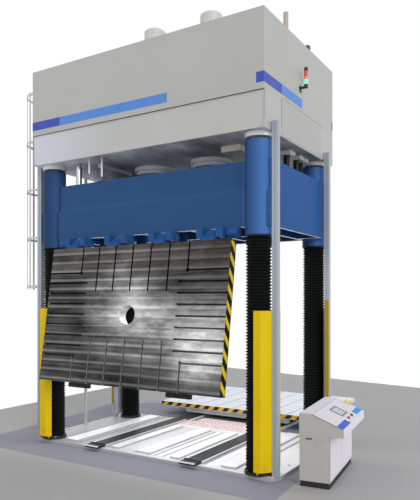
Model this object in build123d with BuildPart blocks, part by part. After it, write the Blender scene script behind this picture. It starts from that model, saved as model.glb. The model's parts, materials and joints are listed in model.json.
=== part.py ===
from build123d import *
from math import cos, radians, sin
import os

# Four-column press with a tilting upper platen and a table that runs out to the rear.
# Millimetres. Origin on the floor at the centre of the columns, front towards -Y, +Z up.

# Columns
column_clearance_x = 567
column_spacing_y = 2127
column_diameter = 250
column_foot_radius = 168
column_foot_height = 30
column_end_height = 20
running_gap = 0.05
fitting_gap = 0.02

# Bed plate and what lies on it
bed_side_margin = 0
bed_front_overhang = 156.5
bed_rear_overhang = 336.5
bed_thickness = 50
bed_corner_x = 67
bed_corner_y = 170
anchor_edge_distance = 122
anchor_spacing_y = 1000
anchor_hole_radius = 22
bar_height = 30
outer_bar_clearance = 148.5
outer_bar_width = 240
inner_bar_offset = 350
inner_bar_width = 170
middle_bar_width = 260
bar_front_margin = 110
bar_rear_margin = 90
kerb_width = 24
kerb_gap = 4
grating_side_margin = 72
grating_length = 500
grating_thickness = 12
grating_columns = 9
grating_rows = 4
grating_slot_length = 110
grating_slot_width = 40
grating_gap = 25

# Tracks of the table
track_x = 950
track_width = 280
track_thickness = 25
track_front_margin = 70
track_rear_margin = 115
track_beam_width = 360
track_beam_overhang = 40
track_stop_thickness = 40
track_stop_height = 70
track_front_stop_height = 26
track_stop_foot = 30

# Bellows round the columns
bellows_radius = 187
bellows_valley_radius = 160
bellows_bore_radius = 146
bellows_cuff = 25
bellows_pleats = 12
bellows_base_radius = 205
bellows_base_bore_radius = 172
bellows_base_height = 40

# Crosshead that the columns guide
crosshead_overlap = 107
crosshead_side_inset = 12
crosshead_bottom = 3550
crosshead_height = 940
crosshead_ledge_low = 4030
crosshead_ledge_high = 4107
crosshead_ledge_depth = 40
crosshead_top_plate = 80
crosshead_wall = 100
crosshead_web = 60
crosshead_cell_columns = 4
crosshead_cell_margin = 253.5
end_cell_margin = 193.5
end_cell_wall = 50
end_cell_half_depth = 780
sleeve_radius = 197
sleeve_bore_radius = 150
sleeve_drop = 140
sleeve_clearance = 39
bush_length = 250
bush_margin = 12
wiper_height = 18
wiper_radius = 188
stop_pad_radius = 90
stop_pad_x = 1250
stop_pad_front_y = -620
stop_pad_rear_y = 820
stop_gap = 1

# Crown: welded beam below, sheet housing above
crown_overhang_x = 228.5
crown_overhang_y = 301.5
crown_gap = 374
beam_height = 522
beam_front_setback = 25
beam_plate = 80
beam_cell_column_margin = 253.5
beam_cell_cylinder_margin = 300
beam_cell_margin = 100
beam_cell_web = 120
beam_access_radius = 140
housing_height = 1125
housing_sheet = 4
housing_flange = 40
cover_sheet = 5
front_cover_margin = 22
front_cover_bevel = 60
side_cover_length = 1570
side_cover_margin = 20
collar_radius = 200
collar_height = 60
column_nut_radius = 190
column_nut_height = 150

# Main cylinders
cylinder_x = 600
barrel_radius = 192
barrel_bore_radius = 140
barrel_rise = 835
barrel_dome = 80
barrel_end_wall = 120
barrel_flange_radius = 260
barrel_flange_height = 60
barrel_hole_gap = 0.5
gland_radius = 360
gland_tier_radius = 318
gland_height = 64
gland_tier_height = 58
rod_radius = 100
rod_flange_radius = 180
rod_flange_height = 40
piston_height = 200
piston_top_margin = 60

# Ram locks and the rods that run through them
lock_inset = 73.5
lock_y_values = (70, 460, 660)
lock_rod_radii = (50, 50, 35)
lock_block_width = 220
lock_block_length = 200
lock_block_height = 60
lock_hole_gap = 5
lock_rod_rise = 564
measuring_rod_inset_x = 577.5
measuring_rod_inset_y = 13.5
measuring_rod_radius = 50
measuring_rod_rise = 524

# Hydraulic unit inside the crown
tank_outer_clearance = 180
tank_inner_clearance = 170
tank_front_clearance = 100
tank_rear_clearance = 265
tank_height = 800
tank_wall = 6
filler_radius = 60
motor_y = -450
motor_radius = 210
motor_length = 620
motor_fins = 14
motor_fin_height = 22
motor_fin_thickness = 8
motor_shaft_height = 300
motor_foot_height = 40
motor_foot_width = 420
pump_radius = 130
pump_length = 340
pump_flange_radius = 170
pump_flange_thickness = 30
valve_block_width = 420
valve_block_length = 300
valve_block_height = 260
valve_block_y = -800
valve_radius = 42
valve_height = 130
valve_count = 3
duct_x = 1400
duct_y = -645
duct_width = 330
duct_length = 220
duct_height = 90
supply_bar_x = -1140
supply_bar_front = -870
supply_bar_rear = -40
supply_bar_width = 80
supply_bar_height = 60
drop_pipe_setback = 140
drop_pipe_x_values = (-1075, -796)
drop_pipe_lengths = (240, 320)
drop_pipe_radius = 16

# Roof fittings
vent_pipe_inset = 162
vent_pipe_y = -270
vent_pipe_radius = 38
vent_pipe_wall = 4
vent_pipe_height = 400
vent_flange_radius = 70
vent_flange_height = 8
breather_y = 610
breather_radius = 26
breather_cap_radius = 45
breather_height = 220

# Signal tower on the right side of the crown
tower_y = -100
tower_reach = 98
tower_radius = 29
tower_bottom = 5760
tower_base_height = 55
tower_green_height = 66
tower_amber_height = 48
tower_red_height = 84
tower_cap_height = 62
tower_arm_height = 24
tower_arm_width = 40
tower_foot_height = 90

# Posts of the light curtain
post_gap = 22
post_width = 88
post_length = 77
post_front_offset = 57
post_rear_offset = 142
post_rise = 126
post_groove_width = 12
post_groove_depth = 8
post_bracket_height = 80
post_bracket_length = 60
post_bracket_drop = 70
curtain_bar_width = 66
curtain_bar_depth = 30
curtain_bar_bottom = 320
curtain_bar_top = 2500

# Sheet guards round the foot of each column
guard_bottom = 120
guard_top = 2356
guard_sheet = 3
guard_flange_inner = 35
guard_flange_outer = 142
guard_flange_distance = 237
guard_web_front = 113
guard_web_rear = 190
turned_guard_angle = 42
turned_guard_web_rear = 95
guard_arm_thickness = 10
guard_arm_rise = 40
guard_arm_start = 190

# Conduit and ladder on the left side
conduit_radius = 30
conduit_foot_radius = 55
conduit_foot_height = 10
ladder_gap = 158
ladder_front_y = -980
ladder_rear_y = -520
stile_width = 60
stile_thickness = 20
stile_drop = 55
rung_radius = 14
rung_pitch = 280
rung_first = 320
standoff_above_beam = 94
standoff_below_top = 260
standoff_height = 50
standoff_thickness = 10
cage_radius = 350
cage_offset = 170
hoop_height = 40
hoop_thickness = 8
hoop_first = 2750
hoop_below_top = 180
hoop_count = 5
strip_width = 40
strip_thickness = 6
strip_angles = (100, 140, 180, 220, 260)
strip_overhang = 30

# Tilting upper platen, hanging open at rest
platen_width = 3500
platen_height = 2216
platen_thickness = 150
platen_lean = 8.64
hinge_setback = 30.5
hinge_drop = 80
platen_back_offset = 40
platen_edge_offset = 130
platen_bore_radius = 150
slot_neck_width = 28
slot_neck_depth = 30
slot_head_width = 50
slot_head_depth = 22
slot_entry_radius = 31
column_slot_pitch = 350
column_slot_length = 725
outer_slot_inset = 700
outer_slot_length = 420
row_slot_pitch = 170
row_slot_count = 9
row_slot_inset = 840
pad_inset = 774
pad_width = 410
pad_height = 75
pad_thickness = 90
pad_setback = 110
bracket_outer_inset = 410
bracket_inner_x = 445
bracket_width = 452
ear_width = 110
ear_depth = 160
ear_radius = 80
ear_nose = 60
ear_nose_drop = 60
knuckle_gap = 3
knuckle_radius = 68
knuckle_back_margin = 6
pin_radius = 45
pin_head_radius = 60
pin_head_thickness = 12
actuator_radius = 76
actuator_length = 180
actuator_foot_width = 130
actuator_gap = 4
pin_in_actuator = 140

# Lower table, parked at the rear
table_width = 3500
table_length = 2500
table_gap = 385
table_top = 300
table_thickness = 85
table_slot_pitch = 400
table_slot_count = 7
carriage_overhang = 110
carriage_setback = 100
cross_beam_depth = 120
cross_beam_height = 110
side_beam_width = 240
side_beam_wall = 15
side_beam_height = 100
wheel_radius = 55
wheel_width = 70
wheel_track_gap = 0.3
axle_radius = 20
axle_from_end = 420
axle_overhang = 20
gearbox_x = 350
gearbox_width = 120
gearbox_length = 150
gearbox_radius = 46
gear_motor_radius = 38
gear_motor_length = 300

# Operator console beside the machine
console_corner_x = 3104
console_corner_y = -1110
console_turn = 6.3
console_depth = 420
console_length = 1440
console_plinth_height = 78
console_plinth_inset = 12
console_sheet = 3
console_inset = 4
console_hood_bottom = 695
console_nose = 180
console_nose_top = 812
console_slope_start = 240
console_top = 980
console_cable_hole = 60
hatch_width = 113
hatch_height = 135
hatch_thickness = 6
hatch_across = 114
hatch_low = 500
screen_width = 280
screen_height = 172
screen_along = 735
screen_down_slope = 200
screen_bezel = 18
screen_bezel_height = 8
screen_glass_drop = 3
button_radius = 16
button_collar_radius = 20
button_collar_height = 12
button_height = 20
button_stroke = 6
button_down_slope = 376
start_button_along = 643
stop_button_along = 846
stop_button_radius = 18
selector_radius = 17
selector_height = 24
selector_grip_height = 30
selector_grip_width = 12
selector_along = 1395
selector_down_values = (155, 215)
seat_gap = 0.3

os.makedirs("parts", exist_ok=True)


def block(x_range, y_range, z_range, mode=Mode.ADD):
    """Straight bar or plate between three pairs of planes."""
    centre = [(low + high) / 2 for low, high in (x_range, y_range, z_range)]
    size = [high - low for low, high in (x_range, y_range, z_range)]
    with Locations(tuple(centre)):
        Box(*size, mode=mode)


def disc(x, y, z_range, radius, mode=Mode.ADD):
    """Upright round piece or hole between two heights."""
    with Locations((x, y, (z_range[0] + z_range[1]) / 2)):
        Cylinder(radius, z_range[1] - z_range[0], mode=mode)


def upright_plane(x, y):
    """Plane through a vertical axis, for profiles in radius and height."""
    return Plane(origin=(x, y, 0), x_dir=(1, 0, 0), z_dir=(0, -1, 0))


half_width = platen_width / 2
half_height = platen_height / 2
column_x = half_width + column_clearance_x / 2
column_y = column_spacing_y / 2
column_radius = column_diameter / 2
sides = (-1, 1)
column_places = [(sx * column_x, sy * column_y) for sx in sides for sy in sides]

crosshead_top = crosshead_bottom + crosshead_height
crown_bottom = crosshead_top + crown_gap
crown_side = column_x + crown_overhang_x
crown_width = 2 * crown_side
crown_depth = 2 * (column_y + crown_overhang_y)
beam_top = crown_bottom + beam_height
beam_front = -crown_depth / 2 + beam_front_setback
beam_rear = crown_depth / 2
roof_bottom = beam_top + housing_height - housing_sheet
roof_top = beam_top + housing_height
sleeve_bottom = crosshead_bottom - sleeve_drop
sleeve_top = crown_bottom - collar_height - sleeve_clearance
post_inner_x = crown_side + post_gap
post_top = crown_bottom + post_rise
lock_x = column_x - lock_inset
measuring_rod_x = -column_x + measuring_rod_inset_x
measuring_rod_y = -column_y + measuring_rod_inset_y

# Bed plate with bevelled front corners and four anchor holes
bed_side = post_inner_x + post_width + bed_side_margin
bed_front = column_y + bed_front_overhang
bed_rear = column_y + bed_rear_overhang
anchor_spacing_x = 2 * (bed_side - anchor_edge_distance)
with BuildPart() as bed_plate:
    with BuildSketch():
        with BuildLine():
            Polyline(
                (-bed_side, bed_rear),
                (-bed_side, -bed_front + bed_corner_y),
                (-bed_side + bed_corner_x, -bed_front),
                (bed_side - bed_corner_x, -bed_front),
                (bed_side, -bed_front + bed_corner_y),
                (bed_side, bed_rear),
                close=True,
            )
        make_face()
        with GridLocations(anchor_spacing_x, anchor_spacing_y, 2, 2):
            Circle(anchor_hole_radius, mode=Mode.SUBTRACT)
    extrude(amount=bed_thickness)
bed_plate.part.label = "bed_plate"
export_step(bed_plate.part, "parts/bed_plate.step")

# Raised bars of the bed and the kerbs beside each track
outer_bar_x = column_x - bellows_base_radius - outer_bar_clearance - outer_bar_width / 2
inner_bar_x = track_x - inner_bar_offset
bar_front = -bed_front + bar_front_margin
bar_rear = bed_rear - bar_rear_margin
inner_bar_rear = bar_rear - grating_length - grating_gap
kerb_offset = track_width / 2 + kerb_gap + kerb_width / 2
grating_width = 2 * (track_x - kerb_offset - kerb_width / 2 - grating_side_margin)
with BuildPart() as floor_bars:
    with BuildSketch(Plane.XY.offset(bed_thickness)):
        for x in (-outer_bar_x, outer_bar_x):
            with Locations((x, (bar_front + bar_rear) / 2)):
                Rectangle(outer_bar_width, bar_rear - bar_front)
        for x, width in (
            (-inner_bar_x, inner_bar_width),
            (0, middle_bar_width),
            (inner_bar_x, inner_bar_width),
        ):
            with Locations((x, (bar_front + inner_bar_rear) / 2)):
                Rectangle(width, inner_bar_rear - bar_front)
        for side in sides:
            for offset_x in (-kerb_offset, kerb_offset):
                with Locations((side * track_x + offset_x, (bar_front + bar_rear) / 2)):
                    Rectangle(kerb_width, bar_rear - bar_front)
    extrude(amount=bar_height)
floor_bars.part.label = "floor_bars"
export_step(floor_bars.part, "parts/floor_bars.step")

# Slotted panel between the tracks at the rear of the bed
with BuildPart() as grating_panel:
    with BuildSketch(Plane.XY.offset(bed_thickness)):
        with Locations((0, bar_rear - grating_length / 2)):
            Rectangle(grating_width, grating_length)
            with GridLocations(grating_width / grating_columns, grating_length / grating_rows,
                               grating_columns, grating_rows):
                Rectangle(grating_slot_length, grating_slot_width, mode=Mode.SUBTRACT)
    extrude(amount=grating_thickness)
grating_panel.part.label = "grating_panel"
export_step(grating_panel.part, "parts/grating_panel.step")

# Two flat tracks for the table, carried behind the bed by their own beams
table_front = bed_rear + table_gap
table_rear = table_front + table_length
track_rear_end = table_rear + track_rear_margin
track_front = -bed_front + track_front_margin
track_top = bed_thickness + track_thickness
with BuildPart() as table_tracks:
    for side in sides:
        with BuildSketch(Plane.XY.offset(bed_thickness)):
            with Locations((side * track_x, (track_front + track_rear_end) / 2)):
                Rectangle(track_width, track_rear_end - track_front)
        extrude(amount=track_thickness)
table_tracks.part.label = "table_tracks"
export_step(table_tracks.part, "parts/table_tracks.step")

with BuildPart() as rear_track_beams:
    for side in sides:
        with BuildSketch():
            with Locations((side * track_x, (bed_rear + track_rear_end + track_beam_overhang) / 2)):
                Rectangle(track_beam_width, track_rear_end + track_beam_overhang - bed_rear)
        extrude(amount=bed_thickness)
rear_track_beams.part.label = "rear_track_beams"
export_step(rear_track_beams.part, "parts/rear_track_beams.step")

# End stops: an upright with a foot that lies on the track
with BuildPart() as track_stops:
    for side in sides:
        for stop_y, inward, stop_height in (
            (track_front, 1, track_front_stop_height),
            (track_rear_end, -1, track_stop_height),
        ):
            back = stop_y
            face = stop_y + inward * track_stop_thickness
            toe = face + inward * track_stop_foot
            low = track_top
            with BuildSketch(Plane(origin=(side * track_x - track_width / 2, 0, 0),
                                   x_dir=(0, 1, 0), z_dir=(1, 0, 0))):
                with BuildLine():
                    Polyline(
                        (back, low),
                        (toe, low),
                        (toe, low + stop_height / 4),
                        (face, low + stop_height / 3),
                        (face, low + stop_height),
                        (back, low + stop_height),
                        close=True,
                    )
                make_face()
            extrude(amount=track_width)
track_stops.part.label = "track_stops"
export_step(track_stops.part, "parts/track_stops.step")

# Columns with a foot on the bed, through the crown to their nuts
column_top = beam_top + column_nut_height + column_end_height
with BuildPart() as columns:
    for x, y in column_places:
        with BuildSketch(upright_plane(x, y)):
            with BuildLine():
                Polyline(
                    (0, bed_thickness),
                    (column_foot_radius, bed_thickness),
                    (column_foot_radius, bed_thickness + column_foot_height),
                    (column_radius, bed_thickness + column_foot_height),
                    (column_radius, column_top - column_end_height / 2),
                    (column_radius - column_end_height / 2, column_top),
                    (0, column_top),
                    close=True,
                )
            make_face()
        revolve(axis=Axis((x, y, 0), (0, 0, 1)))
columns.part.label = "columns"
export_step(columns.part, "parts/columns.step")

with BuildPart() as bellows_bases:
    with BuildSketch(Plane.XY.offset(bed_thickness)):
        with Locations(column_places):
            Circle(bellows_base_radius)
            Circle(bellows_base_bore_radius, mode=Mode.SUBTRACT)
    extrude(amount=bellows_base_height)
bellows_bases.part.label = "bellows_bases"
export_step(bellows_bases.part, "parts/bellows_bases.step")

# Pleated bellows from the base ring to the lower rim of each sleeve
bellows_bottom = bed_thickness + bellows_base_height
pleat_bottom = bellows_bottom + bellows_cuff
pleat_pitch = (sleeve_bottom - bellows_cuff - pleat_bottom) / bellows_pleats
pleat_points = []
for index in range(bellows_pleats):
    pleat_points.append((bellows_valley_radius, pleat_bottom + index * pleat_pitch))
    pleat_points.append((bellows_radius, pleat_bottom + (index + 0.5) * pleat_pitch))
bellows_outline = [
    (bellows_bore_radius, bellows_bottom),
    (bellows_radius, bellows_bottom),
    (bellows_radius, pleat_bottom),
    *pleat_points,
    (bellows_valley_radius, sleeve_bottom - bellows_cuff),
    (bellows_radius, sleeve_bottom - bellows_cuff),
    (bellows_radius, sleeve_bottom),
    (bellows_bore_radius, sleeve_bottom),
]
with BuildPart() as bellows:
    for x, y in column_places:
        with BuildSketch(upright_plane(x, y)):
            with BuildLine():
                Polyline(*bellows_outline, close=True)
            make_face()
        revolve(axis=Axis((x, y, 0), (0, 0, 1)))
bellows.part.label = "bellows"
export_step(bellows.part, "parts/bellows.step")

# Crown beam: a welded box with open cells, column holes and cylinder holes
rod_places = [(side * lock_x, y, radius)
              for side in sides for y, radius in zip(lock_y_values, lock_rod_radii)]
beam_cell_outer_x = column_x - beam_cell_column_margin
beam_cell_inner_x = cylinder_x + beam_cell_cylinder_margin
beam_cell_middle_x = cylinder_x - beam_cell_cylinder_margin
cell_x_ranges = (
    (-beam_cell_outer_x, -beam_cell_inner_x),
    (-beam_cell_middle_x, beam_cell_middle_x),
    (beam_cell_inner_x, beam_cell_outer_x),
)
cell_y_ranges = (
    (beam_front + beam_cell_margin, -beam_cell_web / 2),
    (beam_cell_web / 2, beam_rear - beam_cell_margin),
)
beam_range = (crown_bottom, beam_top)
with BuildPart() as crown_beam:
    block((-crown_side, crown_side), (beam_front, beam_rear), beam_range)
    for x_range in cell_x_ranges:
        for y_range in cell_y_ranges:
            cell_x = sum(x_range) / 2
            cell_y = sum(y_range) / 2
            block(x_range, y_range, (crown_bottom + beam_plate, beam_top - beam_plate), Mode.SUBTRACT)
            disc(cell_x, cell_y, (beam_top - beam_plate, beam_top), beam_access_radius, Mode.SUBTRACT)
    for x, y in column_places:
        disc(x, y, beam_range, column_radius + running_gap, Mode.SUBTRACT)
    for side in sides:
        disc(side * cylinder_x, 0, beam_range, barrel_radius + barrel_hole_gap, Mode.SUBTRACT)
    for x, y, radius in rod_places:
        disc(x, y, beam_range, radius + lock_hole_gap, Mode.SUBTRACT)
    disc(measuring_rod_x, measuring_rod_y, beam_range, measuring_rod_radius + lock_hole_gap, Mode.SUBTRACT)
crown_beam.part.label = "crown_beam"
export_step(crown_beam.part, "parts/crown_beam.step")

# Cover sheets on the front and sides of the beam
cover_low = crown_bottom + side_cover_margin
cover_high = beam_top - side_cover_margin / 2
front_cover_half = crown_side - front_cover_margin
with BuildPart() as beam_covers:
    with BuildSketch(Plane(origin=(0, beam_front, 0), x_dir=(1, 0, 0), z_dir=(0, -1, 0))):
        with BuildLine():
            Polyline(
                (-front_cover_half + front_cover_bevel, crown_bottom + housing_sheet),
                (front_cover_half - front_cover_bevel, crown_bottom + housing_sheet),
                (front_cover_half, crown_bottom + housing_sheet + front_cover_bevel),
                (front_cover_half, beam_top - housing_sheet),
                (-front_cover_half, beam_top - housing_sheet),
                (-front_cover_half, crown_bottom + housing_sheet + front_cover_bevel),
                close=True,
            )
        make_face()
    extrude(amount=cover_sheet)
    for side in sides:
        with BuildSketch(Plane(origin=(side * crown_side, 0, 0), x_dir=(0, side, 0), z_dir=(side, 0, 0))):
            with Locations((0, (cover_low + cover_high) / 2)):
                Rectangle(side_cover_length, cover_high - cover_low)
        extrude(amount=cover_sheet)
beam_covers.part.label = "beam_covers"
export_step(beam_covers.part, "parts/beam_covers.step")

# Sheet housing with a folded flange that carries the roof
with BuildPart() as crown_housing:
    with BuildSketch(Plane.XY.offset(beam_top)):
        Rectangle(crown_width, crown_depth)
        Rectangle(crown_width - 2 * housing_sheet, crown_depth - 2 * housing_sheet, mode=Mode.SUBTRACT)
    extrude(amount=roof_bottom - beam_top)
    with BuildSketch(Plane.XY.offset(roof_bottom - housing_sheet)):
        Rectangle(crown_width, crown_depth)
        Rectangle(crown_width - 2 * housing_flange, crown_depth - 2 * housing_flange, mode=Mode.SUBTRACT)
    extrude(amount=housing_sheet)
crown_housing.part.label = "crown_housing"
export_step(crown_housing.part, "parts/crown_housing.step")

vent_pipe_x = crown_side - vent_pipe_inset
with BuildPart() as crown_roof:
    with BuildSketch(Plane.XY.offset(roof_bottom)):
        Rectangle(crown_width, crown_depth)
        with Locations((-cylinder_x, 0), (cylinder_x, 0)):
            Circle(barrel_radius + lock_hole_gap, mode=Mode.SUBTRACT)
        with Locations((vent_pipe_x, vent_pipe_y)):
            Circle(vent_pipe_radius - vent_pipe_wall, mode=Mode.SUBTRACT)
        with Locations((vent_pipe_x, breather_y)):
            Circle(breather_radius / 2, mode=Mode.SUBTRACT)
    extrude(amount=housing_sheet)
crown_roof.part.label = "crown_roof"
export_step(crown_roof.part, "parts/crown_roof.step")

# Collars under the crown and nuts on top of its beam
with BuildPart() as column_collars:
    with BuildSketch(Plane.XY.offset(crown_bottom - collar_height)):
        with Locations(column_places):
            Circle(collar_radius)
            Circle(column_radius + running_gap, mode=Mode.SUBTRACT)
    extrude(amount=collar_height)
column_collars.part.label = "column_collars"
export_step(column_collars.part, "parts/column_collars.step")

with BuildPart() as column_nuts:
    with BuildSketch(Plane.XY.offset(beam_top)):
        with Locations(column_places):
            RegularPolygon(column_nut_radius, 8)
            Circle(column_radius + running_gap, mode=Mode.SUBTRACT)
    extrude(amount=column_nut_height)
column_nuts.part.label = "column_nuts"
export_step(column_nuts.part, "parts/column_nuts.step")

# Barrels that stand in the beam on a shoulder and rise through the roof
barrel_top = roof_top + barrel_rise
bore_top = barrel_top - barrel_end_wall
dome_radius = (barrel_radius ** 2 + barrel_dome ** 2) / (2 * barrel_dome)
with BuildPart() as main_cylinders:
    for side in sides:
        with BuildSketch(upright_plane(side * cylinder_x, 0)):
            with BuildLine():
                Polyline(
                    (0, bore_top),
                    (barrel_bore_radius, bore_top),
                    (barrel_bore_radius, crown_bottom),
                    (barrel_radius, crown_bottom),
                    (barrel_radius, beam_top),
                    (barrel_flange_radius, beam_top),
                    (barrel_flange_radius, beam_top + barrel_flange_height),
                    (barrel_radius, beam_top + barrel_flange_height),
                    (barrel_radius, barrel_top),
                )
                RadiusArc((barrel_radius, barrel_top), (0, barrel_top + barrel_dome), -dome_radius)
                Line((0, barrel_top + barrel_dome), (0, bore_top))
            make_face()
        revolve(axis=Axis((side * cylinder_x, 0, 0), (0, 0, 1)))
main_cylinders.part.label = "main_cylinders"
export_step(main_cylinders.part, "parts/main_cylinders.step")

with BuildPart() as cylinder_glands:
    for side in sides:
        for low, high, radius in (
            (crown_bottom - gland_height, crown_bottom, gland_radius),
            (crown_bottom - gland_height - gland_tier_height, crown_bottom - gland_height, gland_tier_radius),
        ):
            disc(side * cylinder_x, 0, (low, high), radius)
            disc(side * cylinder_x, 0, (low, high), rod_radius + running_gap, Mode.SUBTRACT)
cylinder_glands.part.label = "cylinder_glands"
export_step(cylinder_glands.part, "parts/cylinder_glands.step")

# Piston and rod in one, on a flange that is bolted to the crosshead
piston_top = bore_top - piston_top_margin
with BuildPart() as piston_rods:
    for side in sides:
        with BuildSketch(upright_plane(side * cylinder_x, 0)):
            with BuildLine():
                Polyline(
                    (0, crosshead_top),
                    (rod_flange_radius, crosshead_top),
                    (rod_flange_radius, crosshead_top + rod_flange_height),
                    (rod_radius, crosshead_top + rod_flange_height),
                    (rod_radius, piston_top - piston_height),
                    (barrel_bore_radius - running_gap, piston_top - piston_height),
                    (barrel_bore_radius - running_gap, piston_top),
                    (0, piston_top),
                    close=True,
                )
            make_face()
        revolve(axis=Axis((side * cylinder_x, 0, 0), (0, 0, 1)))
piston_rods.part.label = "piston_rods"
export_step(piston_rods.part, "parts/piston_rods.step")

# Hydraulic unit on top of the beam
tank_outer = lock_x - lock_rod_radii[0] - tank_outer_clearance
tank_inner = cylinder_x + barrel_flange_radius + tank_inner_clearance
tank_x = -(tank_outer + tank_inner) / 2
tank_width = tank_outer - tank_inner
tank_front = measuring_rod_y + measuring_rod_radius + tank_front_clearance
tank_rear = crown_depth / 2 - tank_rear_clearance
tank_length = tank_rear - tank_front
tank_y = (tank_front + tank_rear) / 2
with BuildPart() as oil_tank:
    with BuildSketch(Plane.XY.offset(beam_top)):
        with Locations((tank_x, tank_y)):
            Rectangle(tank_width, tank_length)
    extrude(amount=tank_height)
    fillet(oil_tank.edges().filter_by(Axis.Z), radius=4 * tank_wall)
    with BuildSketch(Plane.XY.offset(beam_top + tank_wall)):
        with Locations((tank_x, tank_y)):
            Rectangle(tank_width - 2 * tank_wall, tank_length - 2 * tank_wall)
    extrude(amount=tank_height - 2 * tank_wall, mode=Mode.SUBTRACT)
    lid_range = (beam_top + tank_height - tank_wall, beam_top + tank_height)
    disc(tank_x, tank_y, lid_range, filler_radius, Mode.SUBTRACT)
oil_tank.part.label = "oil_tank"
export_step(oil_tank.part, "parts/oil_tank.step")

motor_x = -tank_x
shaft_z = beam_top + motor_shaft_height
motor_end = motor_y + motor_length
with BuildPart() as pump_motor:
    motor_plane = Plane(origin=(motor_x, motor_y, shaft_z), x_dir=(1, 0, 0), z_dir=(0, 1, 0))
    with BuildSketch(motor_plane):
        Circle(motor_radius)
        with PolarLocations(motor_radius + motor_fin_height / 2 - 2, motor_fins):
            Rectangle(motor_fin_height, motor_fin_thickness)
    extrude(amount=motor_length)
    for foot_y in (motor_y + motor_length / 5, motor_y + 4 * motor_length / 5):
        block((motor_x - motor_foot_width / 2, motor_x + motor_foot_width / 2),
              (foot_y - motor_foot_height, foot_y + motor_foot_height),
              (beam_top, beam_top + motor_foot_height))
        block((motor_x - motor_foot_width / 3, motor_x + motor_foot_width / 3),
              (foot_y - motor_foot_height / 2, foot_y + motor_foot_height / 2),
              (beam_top, shaft_z - motor_radius / 2))
pump_motor.part.label = "pump_motor"
export_step(pump_motor.part, "parts/pump_motor.step")

with BuildPart() as oil_pump:
    with BuildSketch(Plane(origin=(motor_x, motor_end, shaft_z), x_dir=(1, 0, 0), z_dir=(0, 1, 0))):
        Circle(pump_flange_radius)
    extrude(amount=pump_flange_thickness)
    with BuildSketch(Plane(origin=(motor_x, motor_end, shaft_z), x_dir=(1, 0, 0), z_dir=(0, 1, 0))):
        RegularPolygon(pump_radius, 8)
    extrude(amount=pump_length)
    chamfer(oil_pump.faces().sort_by(Axis.Y)[-1].edges(), length=pump_flange_thickness)
oil_pump.part.label = "oil_pump"
export_step(oil_pump.part, "parts/oil_pump.step")

with BuildPart() as valve_block:
    block((-valve_block_width / 2, valve_block_width / 2),
          (valve_block_y - valve_block_length / 2, valve_block_y + valve_block_length / 2),
          (beam_top, beam_top + valve_block_height))
    with BuildSketch(Plane.XY.offset(beam_top + valve_block_height)):
        with Locations((0, valve_block_y)):
            with GridLocations(valve_block_width / valve_count, 1, valve_count, 1):
                Circle(valve_radius)
    extrude(amount=valve_height)
valve_block.part.label = "valve_block"
export_step(valve_block.part, "parts/valve_block.step")

# Lock blocks under the crown, bored for the rods that stand on the crosshead
with BuildPart() as lock_units:
    with BuildSketch(Plane.XY.offset(crown_bottom - lock_block_height)):
        for x, y, radius in rod_places:
            with Locations((x, y)):
                Rectangle(lock_block_width, lock_block_length * radius / lock_rod_radii[0])
                Circle(radius + lock_hole_gap, mode=Mode.SUBTRACT)
    extrude(amount=lock_block_height)
lock_units.part.label = "lock_units"
export_step(lock_units.part, "parts/lock_units.step")

with BuildPart() as lock_rods:
    for x, y, radius in rod_places:
        disc(x, y, (crosshead_top, beam_top + lock_rod_rise), radius)
lock_rods.part.label = "lock_rods"
export_step(lock_rods.part, "parts/lock_rods.step")

with BuildPart() as measuring_rod:
    measuring_rod_range = (crosshead_top, beam_top + measuring_rod_rise)
    disc(measuring_rod_x, measuring_rod_y, measuring_rod_range, measuring_rod_radius)
measuring_rod.part.label = "measuring_rod"
export_step(measuring_rod.part, "parts/measuring_rod.step")

# Duct, supply bar and short drop pipes on the underside of the crown
drop_pipe_y = beam_front + drop_pipe_setback
with BuildPart() as crown_pipes:
    block((duct_x - duct_width / 2, duct_x + duct_width / 2),
          (duct_y - duct_length / 2, duct_y + duct_length / 2),
          (crown_bottom - duct_height, crown_bottom))
    block((supply_bar_x - supply_bar_width / 2, supply_bar_x + supply_bar_width / 2),
          (supply_bar_front, supply_bar_rear), (crown_bottom - supply_bar_height, crown_bottom))
    for x, length in zip(drop_pipe_x_values, drop_pipe_lengths):
        disc(x, drop_pipe_y, (crown_bottom - length, crown_bottom), drop_pipe_radius)
crown_pipes.part.label = "crown_pipes"
export_step(crown_pipes.part, "parts/crown_pipes.step")

# Vent pipe and breather on the roof
with BuildPart() as roof_vents:
    disc(vent_pipe_x, vent_pipe_y, (roof_top, roof_top + vent_flange_height), vent_flange_radius)
    disc(vent_pipe_x, vent_pipe_y, (roof_top, roof_top + vent_pipe_height), vent_pipe_radius)
    disc(vent_pipe_x, vent_pipe_y, (roof_top, roof_top + vent_pipe_height),
         vent_pipe_radius - vent_pipe_wall, Mode.SUBTRACT)
    with BuildSketch(upright_plane(vent_pipe_x, breather_y)):
        with BuildLine():
            Polyline(
                (0, roof_top),
                (breather_radius, roof_top),
                (breather_radius, roof_top + breather_height / 2),
                (breather_cap_radius, roof_top + breather_height / 2),
                (breather_cap_radius, roof_top + breather_height * 0.9),
                (breather_cap_radius * 0.7, roof_top + breather_height),
                (0, roof_top + breather_height),
                close=True,
            )
        make_face()
    revolve(axis=Axis((vent_pipe_x, breather_y, 0), (0, 0, 1)))
roof_vents.part.label = "roof_vents"
export_step(roof_vents.part, "parts/roof_vents.step")

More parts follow.
